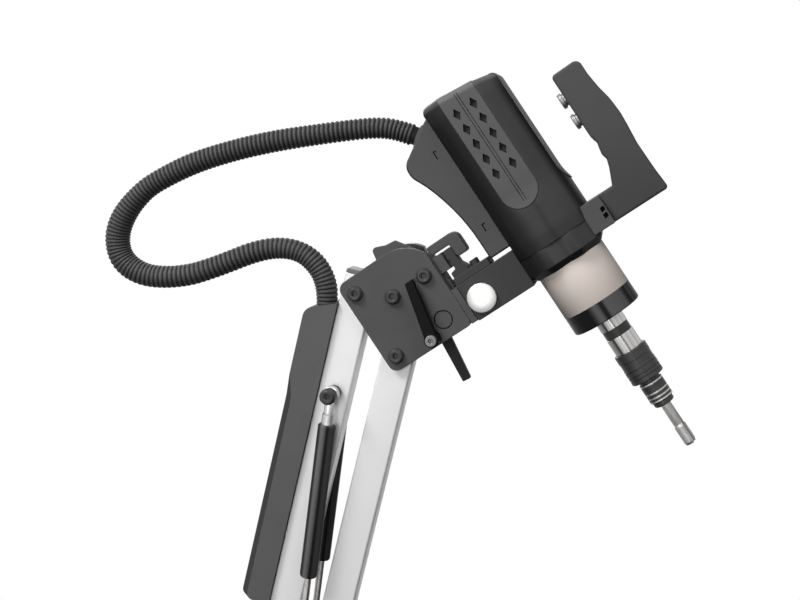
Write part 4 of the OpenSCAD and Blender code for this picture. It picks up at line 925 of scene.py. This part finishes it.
# Painted shade and reflection stripes of the chuck sleeve, the collet and its bands.
CHUCK_DARK = {0: .1, 17: .1, 180: .5, 205: .4, 235: .65, 247: .3, 259: 0, 271: .1, 277: .3, 283: 0, 319: 0,
              343: .2, 360: .1}
q, groove = CHUCK_R, CHUCK_R - 1.1
chuck = raised(CHUCK_Z1, (15, 0.2), (q - 0.8, 0), (q, -0.8), (q, -10.6), (q - 0.5, -11))
chuck += raised(CHUCK_Z0, (q - 0.5, 19.4), (q, 19))
for z in (17.3, 10.4, 5.9):
    chuck += raised(CHUCK_Z0 + z, (q, 0.9), (groove, 0.7), (groove, -0.7), (q, -0.9))
chuck += raised(CHUCK_Z0, (q, 0.8), (q - 0.8, 0), (17.2, 0))
on_axis("chuck_sleeve", [chuck], DARK_STEEL, "collar", "chuck_collar", CHUCK_DARK)
collet = raised(CHUCK_Z0, (10, 3), (13, 3), (13, -4.4), (COLLET_R, -4.8), (COLLET_R, -29.2),
                (COLLET_R - 1.2, -30), (12.4, -30.2), (12.6, -31))
collet += raised(COLLET_Z, (12.6, 1.2), (11.4, 0), (6.6, 0))
on_axis("collet_body", [collet], DARK_STEEL, "spindle", "tap_collet", CHUCK_DARK)
inner, outer = COLLET_R - 1, COLLET_R + 0.12
bands = [raised(CHUCK_Z0 - z, (inner, 0.9), (outer, 0.9), (outer, -0.9), (inner, -0.9))
         for z in (6, 17.4, 23.1, 27.8)]
on_axis("collet_bands", bands, STEEL, "spindle", (), CHUCK_DARK)

TAP_R, THREAD_PITCH, THREAD_DEEP, FLUTE_DEEP, SHANK_END = 7.6, 1.5, 0.03, 4.0, COLLET_Z - 29.4


def flute(a):
    """Depth of the four flutes, 0 to 1, in the direction a: max(0, cos 2(a + 0.35))^2."""
    return np.maximum(0, np.cos(2 * (a + 0.35))) ** 2


def tap_shape():
    """Fluted cutter: r(a, z) = thread(z) less a flute's depth; the flutes begin 3 mm below the shank."""
    z, a = np.linspace(SHANK_END, TAP_Z, 240)[:, None], all_round(96)
    thread = TAP_R + THREAD_DEEP * np.sin(2 * math.pi * z / THREAD_PITCH)
    thread = thread * np.clip(0.86 + (z - TAP_Z) / 22, 0, 1)
    start = np.clip((SHANK_END - z) / 3, 0, 1)
    r = thread * (0.8 + 0.2 * start) - FLUTE_DEEP * flute(a) * start
    return skin(np.stack([r * np.cos(a), r * np.sin(a), z + 0 * a], -1))


shank = turned(2, raised(COLLET_Z, (6.3, 5), (6.3, -28.5), (5.9, -29.6)))
tap = piece("tap_tool", [shank, tap_shape()], TAP_STEEL, "spindle", head_at(AXIS_X), "tap")
# Painted shade in the flutes, below the shank.
shade(tap, lambda x, y, z: 0.75 * flute(np.arctan2(y, x - AXIS_X)) * np.clip((COLLET_Z - 12 - z) / 12, 0, 1))


# ------------------------ arm tubes and caps
# White rectangular steel tubes with rounded corners, four in two parallelograms, each closed by a
# grey moulded cap pressed into both ends.
def polar(v):
    """Length of an (x, z) vector and its angle above +x in degrees."""
    return float(np.linalg.norm(v)), math.degrees(math.atan2(v[1], v[0]))


WHITE = surface("white_paint", 213, 0.3, level=1.0, grain=0.02, grain_size=1.5, mottle=0.015, soften=1.0)
CAP = surface("cap_plastic", 92, 0.55, level=0.15, grain=0.03, mottle=0.05, soften=0.8)
UPPER, UPPER_LINK = pivot("upper_lift"), pivot("upper_link_lift")
LOWER, LOWER_LINK, ELBOW = pivot("lower_lift"), pivot("lower_link_lift"), pivot("elbow_level")
(UPPER_LEN, UPPER_TILT), (LOWER_LEN, LOWER_TILT) = polar(HEAD - UPPER), polar(ELBOW - LOWER)
TUBE_Y, TUBE_H, TAIL, CAP_T, BAR_R = span("upper_main_tube", 1)[1], 20.0, 21.0, 5.0, 3.0


def tube_through(steps):
    """Solid through the tube's section with rounded corners, at (x, distance drawn in) steps."""
    rings = []
    for x, d in steps:
        y, z = TUBE_Y - d - BAR_R, TUBE_H - d - BAR_R
        ring = np.vstack([arc((sy * y, sz * z), BAR_R, a, a + 90, 6)
                          for sy, sz, a in ((1, 1, 0), (-1, 1, 90), (-1, -1, 180), (1, -1, 270))])
        rings.append(np.hstack([x + 0 * ring[:, :1], ring]))
    return skin(rings)


def arm_tube(name, body, start, tilt, length):
    """Tube that runs past both its pivots, and its two caps."""
    x0, x1 = -TAIL, length + TAIL
    piece("arm_" + name, tube_through([(x0, 0.3), (x0 + 0.3, 0), (x1 - 0.3, 0), (x1, 0.3)]), WHITE, body,
          place(start, tilt), name + "_tube")
    profile = ((-4, 2.6), (0, 2.6), (0, 0.1), (CAP_T - 1.6, 0.1), (CAP_T - 0.5, 0.6), (CAP_T, 1.8))
    caps = [tube_through([(x + way * out, d) for out, d in profile[::way]]) for x, way in ((x0, -1), (x1, 1))]
    piece("arm_" + name + "_caps", caps, CAP, body, place(start, tilt), name + "_caps")


arm_tube("upper_main", "upper_arm", UPPER, UPPER_TILT, UPPER_LEN)
arm_tube("upper_link", "upper_link", UPPER_LINK, UPPER_TILT, UPPER_LEN)
arm_tube("lower_main", "lower_arm", LOWER, LOWER_TILT, LOWER_LEN)
arm_tube("lower_link", "lower_link", LOWER_LINK, LOWER_TILT, LOWER_LEN)


# ------------------------ cable covers
# Folded sheet covers over the arms' outer sides. The upper one ends in a slant under the conduit's
# gland, and its near lower edge is cut back to a chamfer that grows away from the head.
COVER = surface("cover_paint", 86, 0.6, level=0.08, grain=0.03, grain_size=1.0, mottle=0.05, shaded=True)
COVER_Y, COVER_START, COVER_TOP = span("upper_cable_cover", 1)[1], 75.0, TUBE_H + 39.5
COVER_END, SLANT, COVER_ROUND, COVER_CORNER = UPPER_LEN - 18, 27.5, 16.0, 8.0


def cover(which, start, tilt, tail, slant, r, chamfer, turn_over):
    """Hood over a tube: a box whose top edges are cut by a chamfer c(x), carried along x, z = top(x).

    The top falls in an arc of radius r round (tail - slant, top - r), then straight to the tube at the tail.
    """
    middle = np.array([tail - slant, COVER_TOP - r])
    reach, lean = polar(np.array([tail, TUBE_H]) - middle)
    fall = arc(middle, r, 90, lean + math.degrees(math.acos(r / reach)), 9)
    rise = arc((COVER_START + COVER_CORNER, COVER_TOP - COVER_CORNER), COVER_CORNER, 176, 90, 7)
    level = np.linspace(rise[-1, 0], fall[0, 0], 30)[1:-1, None]
    slope = fall[-1] + np.linspace(0, 1, 9)[1:, None] * (np.array([tail, TUBE_H + 0.6]) - fall[-1])
    rings = []
    for x, z in np.vstack([rise, np.hstack([level, COVER_TOP + 0 * level]), fall, slope]):
        c = float(np.clip(chamfer(x), 0.3, max(0.3, (z - TUBE_H) / 2)))
        half = [[x, -COVER_Y, TUBE_H], [x, -COVER_Y, z - c], [x, -COVER_Y + 0.25, z - c + 0.25],
                [x, -COVER_Y + c, z]]
        rings.append(half + [[x, -y, h] for x, y, h in half[::-1]])
    shape = moved(skin(rings), np.diag([1.0, 1.0, -1.0 if turn_over else 1.0, 1.0]))
    o = piece("cover_" + which, shape, COVER, which + "_arm", place(start, tilt), which + "_cable_cover",
              sharp=22)
    # Painted shade on the chamfer and top: everything but the side faces.
    shade(o, lambda x, y, z: 0.75 * (np.abs(y) < COVER_Y - 0.2))


cover("upper", UPPER, UPPER_TILT, COVER_END, SLANT, COVER_ROUND,
      lambda x: 1.2 + 8.0 * np.clip((UPPER_LEN - 121 - x) / 29, 0, 1), False)
cover("lower", LOWER, LOWER_TILT, LOWER_LEN - COVER_START, 14.0, COVER_CORNER, lambda x: 6.0, True)
gland("gland_arm", -1, 57, 5.5, BLACK, "upper_arm", "arm_gland")


# ------------------------ gas springs
# Four black lacquered cylinders with a pressed connector on a stud at the arm, and a bright rod
# whose open eye hangs on the plates' pin. The studs carry a socket screw on the outside.
# The lacquer's light base tone is a painted highlight; the stripes' painted shade darkens most of the barrel.
LACQUER = surface("black_lacquer", 104, 0.45, level=0.05, mottle=0.05, mottle_size=60, shaded=True)
ZINC = surface("zinc_plate", 190, 0.35, metal=1.0, mottle=0.08, mottle_size=12)
GAS_Y, NECK, GAS_LEN, GAS_R, STUD_R, ROD_R, STUD_OUT = 30.0, 38.0, 200.0, 11.0, 4.95, 4.5, 43.0
GAS_END = -NECK - GAS_LEN
BARREL = [(4, -NECK), (GAS_R - 1.6, -NECK), (GAS_R, -NECK - 1.6), (GAS_R, GAS_END + 3),
          (GAS_R - 0.8, GAS_END + 1), (GAS_R - 2.6, GAS_END), (ROD_R + 0.4, GAS_END)]
CONNECTOR = [(5.5, -9.5), (6, -11), (6, -24), (7.4, -25), (7.4, -NECK - 0.5)]
EYE = [(9, -5), (12.4, -5), (13, -4.4), (13, 4.4), (12.4, 5), (9, 5)]
# Painted reflection stripes and shade of a barrel, by the distance above its own line, as a share of its
# radius.
BARREL_DARK = {-1: .95, -.9: .65, -.75: .6, -.52: .75, -.46: 1, -.24: 1, -.16: .7, -.03: .4, .12: .22,
               .38: .1, .5: .55, .6: .92, 1: .95}


def gas_spring(which, eye_at, arm_tilt):
    """Pair of springs from the arm's stud to the plates' lower eye."""
    stud_at = pivot(which + "_cylinder_turn")
    reach, tilt = polar(stud_at - eye_at)
    barrels, connectors, rods, studs = [], [], [], []
    for y in (-GAS_Y, GAS_Y):
        barrels.append(turned(0, BARREL, 72, (y, 0)))
        connectors += [turned(0, CONNECTOR, 32, (y, 0)), rod(y - 5, y + 5, 10.5, 36, 0.8)]
        rods += [turned(0, [(ROD_R, GAS_END + 20), (ROD_R, 12 - reach)], 28, (y, 0)),
                 turned(1, raised(y, *EYE), 36, (-reach, 0), closed=True)]
    screw = bolt_head(10.0, 5.0, -STUD_OUT)
    for collar, stud, head in zip(two_sides(TUBE_Y, TUBE_Y + 4), two_sides(TUBE_Y + 4, STUD_OUT),
                                  (screw, moved(screw, MIRROR))):
        studs += [rod(*collar, 9, 32, 0.6), rod(*stud, STUD_R, 24), head]
    at, (c, s) = place(stud_at, tilt), direction(tilt)

    def stripes(x, y, z):
        """Painted reflection stripes and shade along a barrel, by its height over the line through both its
        ends.
        """
        return look_up(((z + HEAD[1] - stud_at[1]) * c - (x + HEAD[0] - stud_at[0]) * s) / GAS_R, BARREL_DARK)

    o = piece(which + "_barrels", barrels, LACQUER, which + "_cylinders", at, which + "_gas_cylinders",
              sharp=30)
    shade(o, stripes)
    piece(which + "_connectors", connectors, ZINC, which + "_cylinders", at, sharp=30)
    piece(which + "_rods", rods, STEEL, which + "_rods", at, which + "_gas_rods", sharp=30)
    piece(which + "_studs", studs, OXIDE, which + "_arm", place(stud_at, arm_tilt), which + "_gas_studs",
          sharp=30)


EYE_ARM, EYE_TURN = 46.5, 117
UPPER_EYE = UPPER + EYE_ARM * direction(UPPER_TILT - EYE_TURN)
LOWER_EYE = LOWER + EYE_ARM * direction(LOWER_TILT + EYE_TURN)
gas_spring("upper", UPPER_EYE, UPPER_TILT)
gas_spring("lower", LOWER_EYE, LOWER_TILT)


# ------------------------ elbow and shoulder
# Pairs of laser-cut plates with tumbled edges, spaced by steel bushes; the shoulder pair is bolted
# to the turret's upright.
EDGE, LINK, PIN_END = 28.0, LOWER_LINK - LOWER, GAS_Y + 6
SPACERS = ELBOW + [[-22, 55], [2, 108]]
SHOULDER_X, SHOULDER_Z = span("shoulder_plates", 0) + HEAD[0], span("shoulder_plates", 2) + HEAD[1]
UPRIGHT_ROWS = (188.0, LOWER[1] - 61)


def joint(name, ring, spots, eye_at, body):
    """Pair of plates with the screws at (x, z) spots, and the washered pins that the rods' eyes hang on."""
    piece("plates_" + name, [slab(ring, *ys) for ys in two_sides(PLATE_IN, PLATE_OUT)], POWDER, body, None,
          name + "_plates")
    bolted("bolts_" + name, spots, body, name + "_bolts")
    pins = [rod(*ys, 4, 24) for ys in two_sides(PLATE_OUT, PIN_END)]
    pins += [rod(*ys, 11, 36, 0.7) for ys in two_sides(PIN_END, PIN_END + 3)]
    piece("bolts_" + name + "_pins", pins, ZINC, body, place(eye_at))


elbow = np.vstack([arc(ELBOW + LINK, EDGE, 135, 270, 14), arc(ELBOW, EDGE, 270, 315, 6),
                   arc(UPPER_LINK, EDGE, -45, 0, 6), arc(UPPER, EDGE, 0, 135, 14)])
joint("elbow", wound(elbow), [ELBOW, ELBOW + LINK, UPPER, UPPER_LINK, *SPACERS], UPPER_EYE, "elbow")
piece("spacers_elbow", [moved(rod(-PLATE_IN, PLATE_IN, 10, 32, 0.6), place(spot)) for spot in SPACERS], ZINC,
      "elbow", None, "elbow_spacers")
joint("shoulder", rect(SHOULDER_X[0], SHOULDER_Z[0], SHOULDER_X[1], SHOULDER_Z[1], 22),
      [LOWER, LOWER_LINK, *((x, z) for x in (-42, 42) for z in UPRIGHT_ROWS)], LOWER_EYE, "turret")


# ------------------------ swivel post and base
# Cast turret on a ground steel post, locked by a black lever, over a thick base plate with four
# bolt holes and rounded corners.
POST = surface("turned_steel", 150, 0.5, metal=1.0, mottle=0.06, brushed=2, soften=0.6)
CAST = surface("cast_powder", 80, 0.6, level=0.3, grain=0.09, grain_size=1.8, mottle=0.08, soften=1.5)
show(CAST, "turret", "base_plate")
show(POST, "swivel_post")
show(OXIDE, "post_screws")
show(BLACK, "swivel_lock_lever")


# ------------------------ floor
# A pale sweep under the base, white to the eye wherever it is seen directly.
FLOOR_Z, FLOOR_GLOW = -0.5, 0.62
pale = bpy.data.materials.new("pale_floor")
pale.use_nodes = True
tree = pale.node_tree
tree.nodes.clear()
matt = node(tree, "ShaderNodeBsdfDiffuse", colour(225))
glow = node(tree, "ShaderNodeEmission", PLAIN_WHITE, FLOOR_GLOW)
seen = node(tree, "ShaderNodeLightPath").outputs["Is Camera Ray"]
mixed = node(tree, "ShaderNodeMixShader", seen, matt, node(tree, "ShaderNodeAddShader", matt, glow))
node(tree, "ShaderNodeOutputMaterial", mixed)
floor = piece("floor", turned(2, [(r, FLOOR_Z) for r in (1, 400, 1150)], 96), pale, None)
